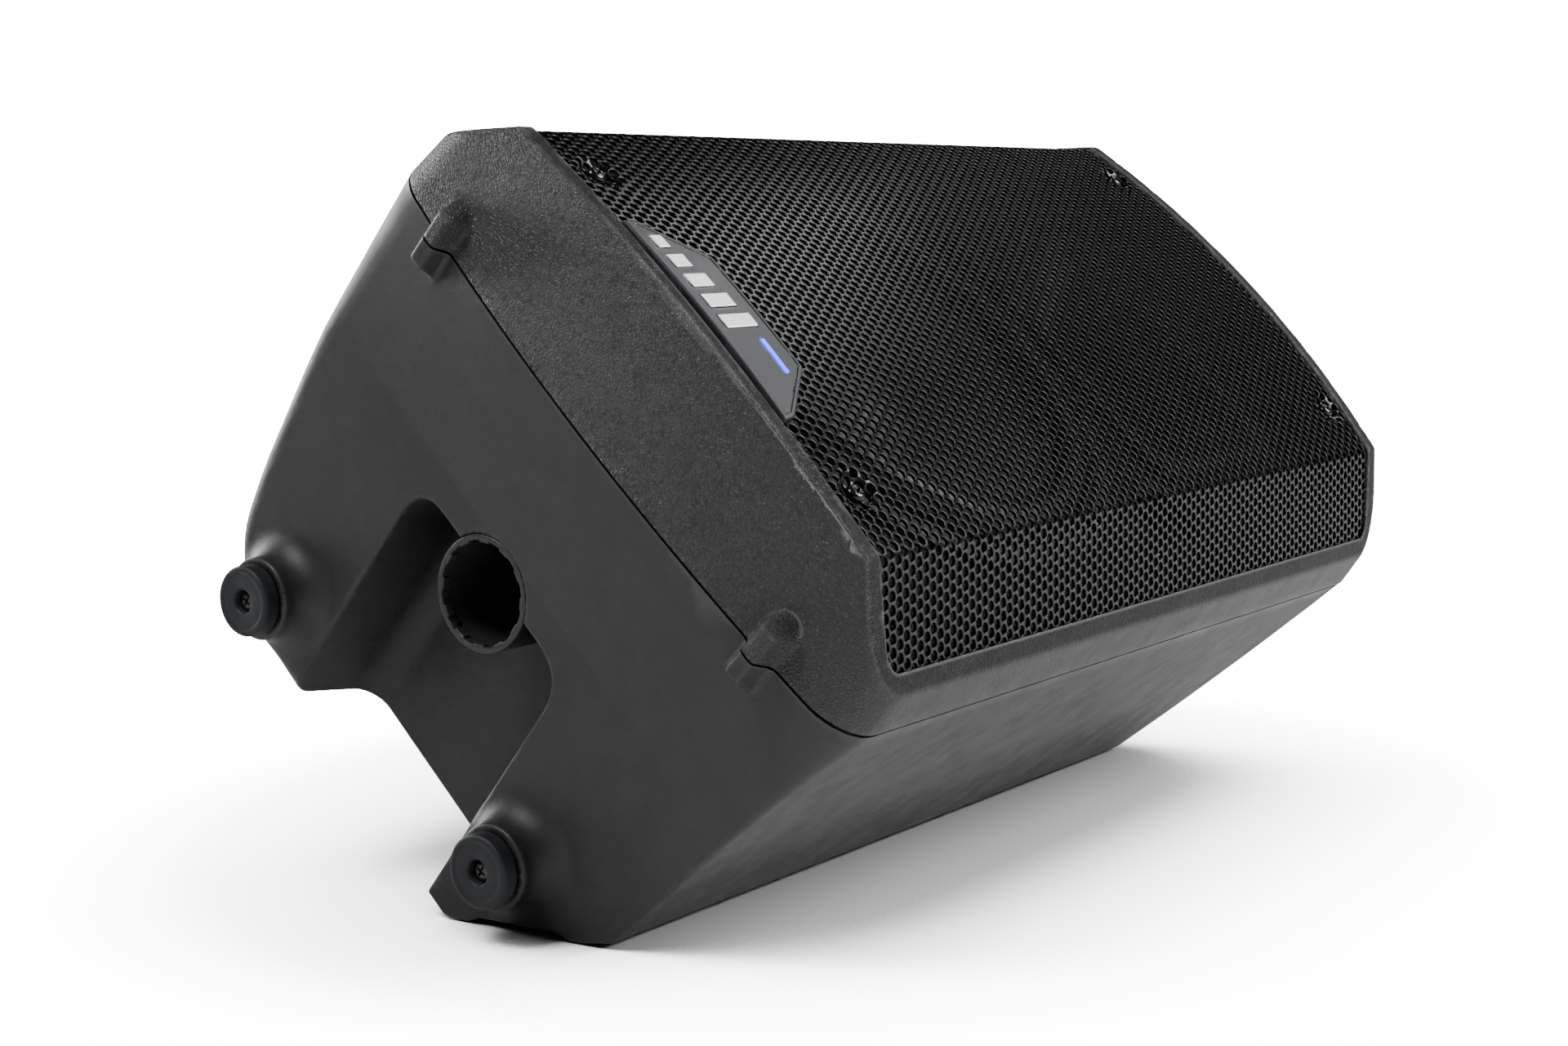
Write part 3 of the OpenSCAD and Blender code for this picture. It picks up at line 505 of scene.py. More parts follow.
def moulded(name, colour, worn, grain_mm=1.5, depth_mm=0.10, rough=(0.46, 0.62), fine_mm=0.35, shade_mm=0.0,
            creases=0.15, front=False, rub=0.55):
    """Injection-moulded plastic with a leather-like grain and a slight polish on its edges.

    shade_mm paints shade into hollows about that deep, creases is how much painted shade darkens the grain's
    creases, front paints shade on what faces the front and a highlight along the near lip, and rub is how
    pale the worn edges and that painted highlight are."""
    n = Nodes(name)
    warp = n.node("TexNoise", Vector=n.place, Scale=420.0, Detail=2.0)
    offset = n.node("VectorMath", operation="SCALE")
    n.feed(offset.inputs[0], warp.outputs["Color"])
    offset.inputs["Scale"].default_value = 0.0011
    bent = n.node("VectorMath", operation="ADD")
    n.feed(bent.inputs[0], n.place)
    n.feed(bent.inputs[1], offset.outputs[0])
    where = bent.outputs[0]
    valleys = n.cells(1000 / grain_mm, "DISTANCE_TO_EDGE", where)
    pillow = n.span(valleys, 0.0, 0.32)
    fine = n.noise(1000 / fine_mm, 2.0)
    height = n.math("ADD", n.product(pillow, 0.75), n.product(fine, 0.35))
    normal = n.bump(height, depth_mm)
    tone = n.mottled(colour, 0.9, 1.1, 26.0, 3.0)
    # painted shade: the grain's creases are darker
    crease = n.product(n.math("SUBTRACT", 1.0, pillow), creases)
    tone = n.mix(crease, tone, times(colour, 0.2))
    shine, wear_and_highlight = SHINE, n.worn_edges()
    # painted shade on what faces the front, and a painted highlight along the near lip
    if front:
        tone, shine, wear_and_highlight = front_shade_and_highlight(n, tone, colour, fine)
    # worn edges, and with front the painted lip highlight, go pale towards the worn colour
    tone = n.mix(n.product(wear_and_highlight, rub), tone, worn)
    # painted shade: darker in hollows, by ambient occlusion within shade_mm
    if shade_mm:
        open_sky = n.node("AmbientOcclusion", Distance=shade_mm * 0.001).outputs["AO"]
        tone = n.mix(n.span(open_sky, 0.35, 0.85), times(colour, 0.08), tone)
    scuff = n.span(n.noise(60.0, 5.0, 0.7), 0.35, 0.75, rough[0], rough[1])
    polish = n.product(n.worn_edges(), -0.12)
    return n.finish(tone, n.math("ADD", scuff, polish), normal, Specular_IOR_Level=shine)


def painted(name, colour, rough=0.35, peel_mm=0.9, depth_mm=0.02, metallic=0.0, chip=None, shine=0.5):
    """Paint or powder coat over metal, with orange peel and faint rubbing on its edges."""
    n = Nodes(name)
    peel = n.noise(1000 / peel_mm, 2.0)
    normal = n.bump(peel, depth_mm)
    tone = n.mottled(colour, 0.85, 1.2, 40.0, 4.0)
    if chip:
        tone = n.mix(n.product(n.worn_edges(0.55, 0.7), 0.6), tone, chip)
    gloss = n.span(n.noise(220.0, 3.0), 0.3, 0.7, rough * 0.8, rough * 1.25)
    return n.finish(tone, gloss, normal, metallic, Specular_IOR_Level=shine)


def metal(name, colour, rough=0.3, brush=(1, 1, 40), depth_mm=0.015):
    """Bare metal with a directional brush or machining texture."""
    n = Nodes(name)
    stretch = n.node("Mapping", Vector=n.place)
    stretch.inputs["Scale"].default_value = brush
    lines = n.noise(300.0, 4.0, 0.6, stretch.outputs[0])
    tone = n.mix(lines, times(colour, 0.8), times(colour, 1.1))
    gloss = n.span(lines, 0.3, 0.7, rough * 0.75, rough * 1.35)
    return n.finish(tone, gloss, n.bump(lines, depth_mm), 1.0)


def soft(name, colour, rough=0.8, cell_mm=0.6, depth_mm=0.06, sheen=0.0, feature="F1"):
    """Rubber, foam, felt or paper: a cellular or fibrous matt surface."""
    n = Nodes(name)
    cell = n.cells(1000 / cell_mm, feature)
    fibre = n.noise(900.0 / cell_mm, 4.0, 0.65)
    height = n.math("ADD", n.product(cell, 0.6), n.product(fibre, 0.5))
    tone = n.mottled(colour, 0.75, 1.25, 55.0, 4.0)
    tone = n.mix(n.product(n.span(fibre, 0.55, 0.8), 0.2), tone, times(colour, 2.2))
    gloss = n.span(n.noise(90.0, 3.0), 0.3, 0.7, rough * 0.9, min(1.0, rough * 1.1))
    return n.finish(tone, gloss, n.bump(height, depth_mm), Sheen_Weight=sheen)


def glowing(name, colour, strength):
    """A tinted lens lit from behind."""
    n = Nodes(name)
    spread = n.noise(700.0, 2.0)
    tone = n.mix(n.span(spread, 0.3, 0.7), times(colour, 0.8), colour)
    n.feed(n.bsdf.inputs["Emission Color"], tone)
    n.feed(n.bsdf.inputs["Emission Strength"], n.span(spread, 0.2, 0.8, strength * 0.8, strength * 1.2))
    return n.finish(tone, n.span(spread, 0.3, 0.7, 0.15, 0.25), n.bump(spread, 0.01))


M = dict(
    # the shell's 45.0 is shade_mm: painted shade in its hollows and low down by the floor
    shell=moulded("shell_plastic", (0.028, 0.028, 0.030), (0.06, 0.06, 0.062), 0.8, 0.035, (0.46, 0.58), 0.3,
                  45.0),
    # painted light on the baffle: creases=0.6 paints strong shade in the grain's creases, and front=True
    # paints shade on what faces the front and a pale highlight, in the worn colour, along the near lip
    baffle=moulded("baffle_plastic", (0.044, 0.044, 0.046), (0.30, 0.30, 0.302), 1.15, 0.26, (0.38, 0.52),
                   creases=0.6, front=True, rub=0.5),
    grille=painted("grille_powder_coat", (0.003, 0.003, 0.0032), 0.20, 0.5, 0.006, shine=0.28),
    badge=moulded("badge_plastic", (0.016, 0.0165, 0.020), (0.05, 0.05, 0.055), 0.6, 0.02, (0.34, 0.46),
                  0.25),
    silver=metal("silver_inlay", (0.72, 0.73, 0.75), 0.32, (1, 8, 1)),
    blue=glowing("blue_light", (0.02, 0.07, 1.0), 2.5),
    screw=painted("black_screw", (0.006, 0.006, 0.0065), 0.20, 0.3, 0.006),
    rubber=soft("foot_rubber", (0.010, 0.011, 0.014), 0.62, 0.5, 0.03),
    foam=soft("black_foam", (0.008, 0.008, 0.008), 0.95, 0.8, 0.12, 0.2),
    dark_zinc=metal("dark_zinc_screw", (0.10, 0.10, 0.105), 0.38, (1, 1, 1)),
    # the socket's 35.0 is shade_mm: painted shade down inside its mouth
    socket=moulded("socket_moulding", (0.030, 0.030, 0.032), (0.06, 0.06, 0.062), 0.7, 0.02, (0.46, 0.56),
                   0.3, 35.0),
    handle=moulded("handle_moulding", (0.020, 0.020, 0.021), (0.06, 0.06, 0.062), 1.2, 0.06, (0.50, 0.64)),
    surround=soft("surround_rubber", (0.012, 0.012, 0.013), 0.45, 1.2, 0.01),
    gloss_black=painted("gloss_black", (0.008, 0.008, 0.008), 0.25, 0.8, 0.008),
    paper=soft("cone_paper", (0.045, 0.045, 0.047), 0.75, 0.9, 0.05, 0.1),
    dust_cap=soft("dust_cap_cloth", (0.022, 0.022, 0.023), 0.55, 0.5, 0.03),
    copper=metal("copper_wire", (0.72, 0.33, 0.16), 0.28, (20, 1, 1)),
    spider=soft("spider_cloth", (0.50, 0.33, 0.10), 0.85, 0.7, 0.08, 0.2, "F1"),
    plated=metal("zinc_plate", (0.55, 0.55, 0.53), 0.32, (1, 1, 12)),
    ferrite=soft("ferrite", (0.045, 0.046, 0.048), 0.7, 2.5, 0.03),
    paint=painted("basket_paint", (0.014, 0.014, 0.015), 0.45, 1.2, 0.03, 0.0, (0.10, 0.10, 0.10)),
    panel=painted("panel_powder_coat", (0.016, 0.016, 0.017), 0.48, 0.7, 0.05, 0.0, (0.10, 0.10, 0.10)),
    titanium=metal("titanium_dome", (0.58, 0.57, 0.56), 0.25, (1, 1, 1)),
    felt=soft("damping_felt", (0.30, 0.30, 0.28), 0.95, 1.6, 0.5, 0.5),
    anodised=metal("black_anodised", (0.035, 0.035, 0.037), 0.42, (1, 14, 1)),
    board=painted("solder_mask", (0.010, 0.085, 0.030), 0.28, 1.6, 0.02),
    socket_black=moulded("socket_plastic", (0.012, 0.012, 0.012), (0.05, 0.05, 0.05), 0.5, 0.008,
                         (0.30, 0.42), 0.2),
    latch=metal("latch_metal", (0.42, 0.42, 0.43), 0.3, (1, 10, 1)),
    knob=moulded("knob_plastic", (0.014, 0.014, 0.015), (0.06, 0.06, 0.06), 0.4, 0.008, (0.38, 0.5), 0.2),
    button=moulded("button_plastic", (0.62, 0.62, 0.60), (0.7, 0.7, 0.7), 0.4, 0.006, (0.30, 0.42), 0.2),
    print=painted("white_print", (0.72, 0.72, 0.72), 0.6, 0.5, 0.01),
    lens=glowing("status_lens", (0.10, 0.75, 0.22), 0.6),
    cable=painted("cable_sheath", (0.35, 0.03, 0.02), 0.45, 1.5, 0.03),
    horn=moulded("horn_plastic", (0.018, 0.018, 0.019), (0.05, 0.05, 0.05), 0.9, 0.02, (0.38, 0.5), 0.3),
)

# --- cabinet mouldings

REAR_OUTLINE = fillet(
    [(HALF_W + 50 * SIDE_SLOPE, SEAM_Z + 50), (-HALF_W - 6.5, SEAM_Z + 50), (-120.5, -4.4), (-110.6, -55),
     (-101.6, -84), (-75, -BACK_Z), (64.9, -BACK_Z), (68.4, -100.4), (74.4, -94.4), (76.7, -89.2),
     (100.1, -65.9), (106.5, -62.3), (111.5, -57.3), (119.1, -47.2)],
    [0, 0, 500, 220, 40, 22, 2.0, 2.0, 0.8, 1.2, 2.0, 1.0, 3.0, 2.5])
SLOT_OUTLINE = fillet([(-37.4, -125), (56.5, -125), (44.3, 7.2), (-46.2, 7.1)], [0, 0, 18, 15])


def seam_crown(z):
    """How far the near end's middle stands out beyond its sides."""
    return np.where(z > 20, 3.3 + 5.7 * (z - 20) / (SEAM_Z - 20), 3.3)


def rear_near(x, z):
    return 3.0 - seam_crown(z) * (1 - (x / 120.0) ** 2)


def rear_far(x, z):
    depth = np.clip((SEAM_Z - z) / (SEAM_Z + BACK_Z), 0, 1.2)
    return FAR_Y - 63.0 * depth ** 2.36 - (2 + 7 * np.maximum(1 - depth, 0) ** 1.5) * (x / 118.0) ** 2


def rear_hull(x, y, z, d=0.0):
    """Outside of the rear moulding moved in by d, without its recesses and bosses."""
    side = polygon_field(REAR_OUTLINE, x, z) + d
    up = np.clip((z - 10) / (SEAM_Z - 10), 0, 1)
    r_near = np.where(x > 0, 2.0 + 16.0 * up ** 3, 9.0 + 9.0 * up)
    r_far = 20.0 + 4.0 * (1 - up)
    field = smax(side, rear_near(x, z) + d - y, np.maximum(r_near - d, 0.5))
    return smax(field, y - rear_far(x, z) + d, np.maximum(r_far - d, 0.5))


TOE_ALONG = fillet([(6, 65.2), (6, 97), (0, 95.5), (-TOE_END, 90), (-TOE_END, 68.4), (0, 65.2)],
                   [0, 0, 1, 3, 1.5, 1])


def toe_field(x, y, z):
    """The two moulded toes that straddle the seam at the near end, each with a round nose in front."""
    girth = np.hypot(np.abs(x) - TOE_X, np.maximum(z - 88.6, 0))
    across = (girth - 6.2 - 0.41 * y) * 0.925
    return smax(across, polygon_field(TOE_ALONG, y, z), 1.2)


def rear_shell_field(x, y, z):
    field = rear_hull(x, y, z)
    section = polygon_field(REAR_OUTLINE, x, z)
    for fx, fz in FEET:
        radial = np.hypot(x - fx, z - fz)
        field = smin(field, rod_field(radial, y, 15.4, -12.4, 12.0, 1.2), 11.0)
    field = smin(field, toe_field(x, y, z), 1.5)
    field = smax(field, section, 1.5)
    hollow = rear_hull(x, y, z, WALL)
    # recess behind the pole socket
    lean = np.where(x < 0, 0.16 * np.clip(y, 0, 40), 0.0)
    slot = smax(polygon_field(SLOT_OUTLINE, x, z) + lean, y - 38.0, 10.0)
    hollow = np.maximum(hollow, WALL - slot)
    field = cut(field, slot, 1.3)
    # amplifier recess, its ledge and opening
    amp_low, amp_high = (AMP["x0"], AMP["y0"], -150.0), (AMP["x1"], AMP["y1"], LEDGE_Z)
    recess = box_field(x, y, z, amp_low, amp_high, 3.0)
    hollow = np.maximum(hollow, 3.0 - recess)
    field = cut(field, recess, 2.0)
    opening_low, opening_high = (AMP["x0"] + 7, AMP["y0"] + 7, -150), (AMP["x1"] - 7, AMP["y1"] - 7, 0)
    way_through = box_field(x, y, z, opening_low, opening_high, 3.0)
    # handle pocket
    pocket = smax(rect_field(x, z, 62.0, 35.0, 14.0), 358.0 - y, 8.0)
    hollow = np.maximum(hollow, WALL - pocket)
    field = cut(field, pocket, 3.0)
    # posts for the baffle's screws
    for px, py in BAFFLE_SCREWS:
        left, right = (px - 6, 127) if px > 0 else (-127, px + 6)
        post = box_field(x, y, z, (left, py - 6, 20), (right, py + 6, 90), 1)
        hollow = np.maximum(hollow, -post)
        hollow = smin(hollow, rod_field(np.hypot(x - px, y - py), z, 2.0, 40.0, 90.0), 0.2)
    field = smax(field, -hollow, 0.6)
    field = cut(field, np.maximum(way_through, z - (LEDGE_Z + 8)), 0.6)
    field = bore(field, x, z, y, POLE_R + 2.95, -30, 60, 0.3)
    for fx, fz in FEET:
        field = bore(field, x - fx, z - fz, y, 2.0, -30, 20, 0.2)
    for hz in HANDLE_SCREW_Z:
        field = bore(field, y - HANDLE_Y, z - hz, x, 2.2, -80, 80, 0.2)
    return smax(field, z - SEAM_Z - SAW_SPARE, 0.7)


def baffle_near(x, z):
    t = np.clip((z - SEAM_Z) / (FRONT_Z - SEAM_Z), -0.2, 1.1)
    return (1 - t) * (3.0 - 9.0 * (1 - (x / 120.0) ** 2)) + t * 6.2 * (x / BROW[0]) ** 2


def front_height(x):
    """The bowed front, across its middle."""
    return FRONT_Z - (FRONT_Z - BROW[1]) * (x / BROW[0]) ** 2


BOW = [(BROW[0] * t, FRONT_Z - (FRONT_Z - BROW[1]) * t * t) for t in np.linspace(1, -1, 21)]
FRONT_OUTLINE = np.concatenate([
    fillet([(HALF_W + 2.8, SEAM_Z - 22), CHEEK, BROW, BOW[1]], [0, 3.0, 3.0, 0])[:-1],
    np.array(BOW[1:-1]),
    fillet([BOW[-2], (-BROW[0], BROW[1]), (-CHEEK[0], CHEEK[1]), (-HALF_W - 2.8, SEAM_Z - 22)],
           [0, 3.0, 3.0, 0])[1:]])


def baffle_hull(x, y, z, d=0.0):
    side = polygon_field(FRONT_OUTLINE, x, z) + d
    near = baffle_near(x, z) + d - y
    far = y - (ENDS_SUM - baffle_near(x, z)) + d
    # the corner between a side and an end is round, the front lip is tight
    corner, lip = 19.0 - d, 1.2
    flank = np.abs(x) - HALF_W + (z - SEAM_Z) * (HALF_W - CHEEK[0]) / (CHEEK[1] - SEAM_Z) + d
    field = smax(smax(flank, near, corner), far, corner)
    return smax(field, side, lip)


def opening_field(x, y, d=0.0):
    """The grille's opening seen from the front, moved in by d."""
    end = 7.0 + 8.0 * (x / 114.0) ** 2
    near = end + d - y
    far = y - (ENDS_SUM - end) + d
    return smax(smax(np.abs(x) - 123.7 + d, near, 6.0), far, 6.0)


# section of the space in front of the baffle's board, and of the hollow behind it
FRONT_SPACE = fillet([(124.8, 95.4), (140, 95.4), (140, 160), (-140, 160), (-140, 95.4), (-124.8, 95.4),
                      (-113, BOARD_Z), (113, BOARD_Z)], [0, 0, 0, 0, 0, 0, 2, 2])
CAVITY = [(134, 60), (124.8, 91.4), (113, 100), (-113, 100), (-124.8, 91.4), (-134, 60)]


def baffle_field(x, y, z):
    field = smin(baffle_hull(x, y, z), toe_field(x, y, z), 1.5)
    cavity = np.maximum(baffle_hull(x, y, z, WALL), polygon_field(CAVITY, x, z))
    for px, py in BAFFLE_SCREWS:
        cavity = np.maximum(cavity, 5.5 - np.hypot(x - px, y - py))
    field = smax(field, -cavity, 0.6)
    space = smax(opening_field(x, y), polygon_field(FRONT_SPACE, x, z), 2.0)
    field = cut(field, space, 0.9)
    for px, py in GRILLE_SCREWS:
        post = rod_field(np.hypot(x - px, y - py), z, 5.5, BOARD_Z - 2, 125.5, 0.8)
        field = smin(field, post, 1.5)
        field = bore(field, x - px, y - py, z, 2.0, 108, 140, 0.3)
    for px, py in BAFFLE_SCREWS:
        field = bore(field, x - px, y - py, z, 2.3, 60, 140, 0.3)
    field = bore(field, x, y - WOOFER_Y, z, 94.6, 80, 120, 1.0)
    field = cut(field, np.maximum(rect_field(x, y - HORN_Y, 74.5, 52.5, 6.0), z - 120), 1.0)
    for px, py in PORTS:
        field = bore(field, x - px, y - py, z, 15.05, 80, 120, 0.6)
    return smax(field, SEAM_Z - SAW_SPARE - z, 0.9)


def build_mouldings():
    sculpt("rear_shell_moulding", rear_shell_field, (-135, -14, -103), (135, 414, 84), 1.05, M["shell"],
           saw=(SEAM_Z - SEAM_GAP / 2, 1), slot="shell_plastic", replaces=["rear_shell"])
    sculpt("front_baffle_moulding", baffle_field, (-133, -9, 72), (133, 414, 135.5), 0.9, M["baffle"],
           saw=(SEAM_Z + SEAM_GAP / 2, -1), slot="baffle_plastic", replaces=["front_baffle"])


build_mouldings()

# --- grille

SHEET_OUT = 1.2
SHEET_T = 1.2
CUP_Z = 126.8
PITCH = 4.5
HOLE_R = 1.75


def sheet_line():
    """The grille's section: arc length from its middle, and the point and normal there."""
    x = np.linspace(-BROW[0], BROW[0], 301)
    bow = np.stack([x, front_height(x)], 1)
    line = np.concatenate([[(-136, 88)], bow, [(136, 88)]])
    reach = np.concatenate([[0], np.cumsum(np.linalg.norm(np.diff(line, axis=0), axis=1))])
    s = np.arange(0, reach[-1], 0.25)
    soft = np.hanning(27)
    soft /= soft.sum()
    line = np.stack([np.convolve(np.interp(s, reach, line[:, k]), soft, "valid") for k in (0, 1)], 1)
    along = np.gradient(line, axis=0)
    along /= np.linalg.norm(along, axis=1)[:, None]
    normal = np.stack([-along[:, 1], along[:, 0]], 1)
    line = line - SHEET_OUT * normal
    s = np.concatenate([[0], np.cumsum(np.linalg.norm(np.diff(line, axis=0), axis=1))])
    return s - s[-1] / 2, line, normal


def build_grille():
    reach, line, normal = sheet_line()
    screw_at = [(math.copysign(np.interp(abs(x), line[:, 0], reach), x), y) for x, y in GRILLE_SCREWS]
    seat = np.interp(GRILLE_SCREWS[-1][0], line[:, 0], line[:, 1]) - CUP_Z

    def dent(s, y):
        out = 0.0
        for cs, cy in screw_at:
            t = np.clip((8.6 - np.hypot(s - cs, y - cy)) / 4.6, 0, 1)
            out = out - seat * t * t * (3 - 2 * t)
        return out

    def at(s, y, h):
        lift = h + dent(s, y)
        return np.stack([np.interp(s, reach, line[:, 0]) + np.interp(s, reach, normal[:, 0]) * lift, y,
                         np.interp(s, reach, line[:, 1]) + np.interp(s, reach, normal[:, 1]) * lift], -1)

    def axes_at(s, y):
        e = 0.05
        a = at(s + e, y, 0) - at(s - e, y, 0)
        b = at(s, y + e, 0) - at(s, y - e, 0)
        n = np.cross(a, b)
        return [v / np.linalg.norm(v, axis=-1)[..., None] for v in (a, b, n)]

    rise = PITCH * math.sqrt(0.75)
    rows, columns = np.meshgrid(np.arange(-2, int(ENDS_SUM / rise) + 3), np.arange(-33, 34), indexing="ij")
    s = (columns + 0.5 * (rows % 2)).ravel() * PITCH
    y = 1.0 + rows.ravel() * rise

    # the pattern is drawn over a little, so that one cell lies under each screw
    def pulled(s, y):
        s2, y2 = s.copy(), y.copy()
        for cs, cy in screw_at:
            k = np.argmin(np.hypot(s0 - cs, y0 - cy))
            t = np.clip((17 - np.hypot(s - s0[k], y - y0[k])) / 13, 0, 1)
            t = t * t * (3 - 2 * t)
            s2, y2 = s2 + t * (cs - s0[k]), y2 + t * (cy - y0[k])
        return s2, y2

    s0, y0 = s, y
    ps, py = pulled(s, y)
    inside = opening_field(np.interp(ps, reach, line[:, 0]), py) < 1.3
    s, y = s[inside], y[inside]
    count = len(s)

    hexagon = np.radians(30 + 60 * np.arange(6))
    ring = np.radians(30 * np.arange(12))
    size = PITCH / math.sqrt(3)
    cs, cy = s[:, None] + size * np.cos(hexagon), y[:, None] + size * np.sin(hexagon)
    keys = np.round(np.stack([cs, cy], -1).reshape(-1, 2), 3)
    corners, corner = np.unique(keys, axis=0, return_inverse=True)
    corner = corner.reshape(count, 6)
    n_corner = len(corners)
    ks, ky = pulled(corners[:, 0], corners[:, 1])
    mid_s, mid_y = pulled(s, y)

    points = [at(ks, ky, 0.0), at(ks, ky, -SHEET_T)]
    up = axes_at(ks, ky)[2]
    normals = [up, -up]
    first = 2 * n_corner
    rings = []
    for radius, height, lean in ((HOLE_R + 0.36, 0.0, 0.0), (HOLE_R + 0.10, -0.15, 0.6), (HOLE_R, -0.5, 1.0),
                                 (HOLE_R, -SHEET_T, 1.0)):
        rs = mid_s[:, None] + radius * np.cos(ring)
        ry = mid_y[:, None] + radius * np.sin(ring)
        a, b, n = axes_at(rs, ry)
        inward = -(a * np.cos(ring)[None, :, None] + b * np.sin(ring)[None, :, None])
        points.append(at(rs, ry, height).reshape(-1, 3))
        mixed = n * (1 - lean) + inward * lean
        normals.append((mixed / np.linalg.norm(mixed, axis=-1)[..., None]).reshape(-1, 3))
        rings.append(first + np.arange(count * 12).reshape(count, 12))
        first += count * 12
    top, back = rings[0], rings[-1]
    faces = []
    for m in range(6):
        a, b = corner[:, m], corner[:, (m + 1) % 6]
        i, j, k = (2 * m + 1) % 12, (2 * m + 2) % 12, (2 * m + 3) % 12
        faces += [np.stack(f, 1) for f in (
            (a, top[:, j], top[:, i]), (a, b, top[:, j]), (b, top[:, k], top[:, j]),
            (a + n_corner, back[:, i], back[:, j]), (a + n_corner, back[:, j], b + n_corner),
            (b + n_corner, back[:, j], back[:, k]))]
    for upper, lower in zip(rings, rings[1:]):
        for k in range(12):
            m = (k + 1) % 12
            faces.append(np.stack([upper[:, k], upper[:, m], lower[:, m], lower[:, k]], 1))
    # close the sheet's cut edge
    sides = np.stack([corner, np.roll(corner, -1, 1)], -1).reshape(-1, 2)
    _, index, times = np.unique(np.sort(sides, 1), axis=0, return_index=True, return_counts=True)
    rim = sides[index[times == 1]]
    faces.append(np.stack([rim[:, 1], rim[:, 0], rim[:, 0] + n_corner, rim[:, 1] + n_corner], 1))
    faces = [f for group in faces for f in group.tolist()]
    piece("grille_sheet", np.concatenate(points), faces, M["grille"], normals=np.concatenate(normals),
          slot="grille_steel", replaces=["grille"])


build_grille()

# --- badge

BADGE = fillet([(-45, 8.6), (45, 8.6), (44.2, 14.5), (25.5, 36.5), (-25.5, 36.5), (-44.2, 14.5)],
               [0.5, 0.5, 4, 2.5, 2.5, 4])
BARS = [(-37 + 9.4 * i, 14.0, 6.0, 6.0 + 2.6 * i) for i in range(5)]
LIGHT = (12.0, 25.5, 15.0, 2.6)


def tile_field(x, y, tile):
    return rect_field(x - tile[0] - tile[2] / 2, y - tile[1] - tile[3] / 2, tile[2] / 2, tile[3] / 2, 0.5)


def build_badge():
    def plate(x, y, z):
        above = z - front_height(x)
        body = smax(smax(polygon_field(BADGE, x, y), above - 0.9, 0.7), -1.25 - above, 0.2)
        # a shallow step follows the outline
        body = cut(body, np.maximum(polygon_field(BADGE, x, y) + 1.7, 0.55 - above), 0.12)
        for tile in BARS + [LIGHT]:
            body = cut(body, np.maximum(tile_field(x, y, tile) - 0.12, -0.3 - above), 0.05)
        return body

    def bars(x, y, z):
        above = z - front_height(x)
        tiles = functools.reduce(np.minimum, [tile_field(x, y, tile) for tile in BARS])
        return smax(smax(tiles, above - 0.95, 0.25), -0.35 - above, 0.1)

    def light(x, y, z):
        above = z - front_height(x)
        return smax(smax(tile_field(x, y, LIGHT), above - 0.85, 0.4), -0.35 - above, 0.1)

    sculpt("badge_plate_moulding", plate, (-46, 8, 130), (46, 37, 136), 0.34, M["badge"], 0.02,
           slot="badge_plastic", replaces=["badge_plate"])
    sculpt("badge_bars", bars, (-39, 12, 131), (9, 33, 136), 0.24, M["silver"], 0.02, slot="silver_inlay",
           replaces=["badge_emblem"])
    sculpt("badge_light_bar", light, (11, 24, 131), (28, 29.5, 136), 0.2, M["blue"], 0.02, slot="blue_light",
           replaces=["badge_light"])


build_badge()

# --- screws


def pan_head(x, y, z):
    """A 3.4 mm pan head 2.4 mm high with a cross recess."""
    head = smax(rod_field(np.hypot(x, y), z, 3.4, -3.0, 2.4, 1.9), -z, 0.15)
    for u, v in ((x, y), (y, x)):
        taper = (2.4 - z) * 0.12
        head = cut(head, box_field(u, v, z, (-1.85, -0.42, 1.0), (1.85, 0.42, 4.0), 0.1) + taper, 0.1)
    return head


HEAD = surface(pan_head, (-3.5, -3.5, -0.1), (3.5, 3.5, 2.5), 0.16, 0.02)[:2]


def screws(name, node, centres, axis, head_r, head_h, shank_r, shank_l, finish, slot, turn):
    """Threaded screws whose heads start at the centres and point along axis."""
    thread = [(0.0, -shank_l)]
    steps = int(shank_l / 0.8)
    for i in range(steps):
        low = -shank_l + 1.0 + (shank_l - 1.4) * i / steps
        thread += [(shank_r * 0.78, low), (shank_r, low + 0.35)]
    thread += [(shank_r * 0.9, 0.05), (0.0, 0.05)]
    scale = np.array([head_r / 3.4, head_r / 3.4, head_h / 2.4])
    a = math.radians(turn)
    spin = np.array([[math.cos(a), math.sin(a), 0], [-math.sin(a), math.cos(a), 0], [0, 0, 1]])
    parts = [((HEAD[0] * scale) @ spin, HEAD[1]), turned(thread, 20)]
    tidy(piece(name, *placed(parts, centres, axis), finish, slot=slot, replaces=[node]), 35)


def at_height(points, z):
    return [(x, y, z) for x, y in points]


WOOFER_BOLTS = [(99 * math.cos(a), WOOFER_Y + 99 * math.sin(a), 107.8)
                for a in np.radians(22.5 + 45 * np.arange(8))]
HORN_BOLTS = [(a * 72.2, HORN_Y + b * 54.2, 107.4) for a in (-1, 1) for b in (-1, 1)]
PANEL_OUT = -83.8
PANEL_BOLTS = [(x, y, PANEL_OUT) for x in (-60.5, 50.5) for y in (61.8, 150, 242, 330.2)]
SINK_BOLTS = [(x, y, PANEL_OUT - 3) for x in (-52, 42) for y in (124, 180)]
UP, DOWN = (0, 0, 1), (0, 0, -1)


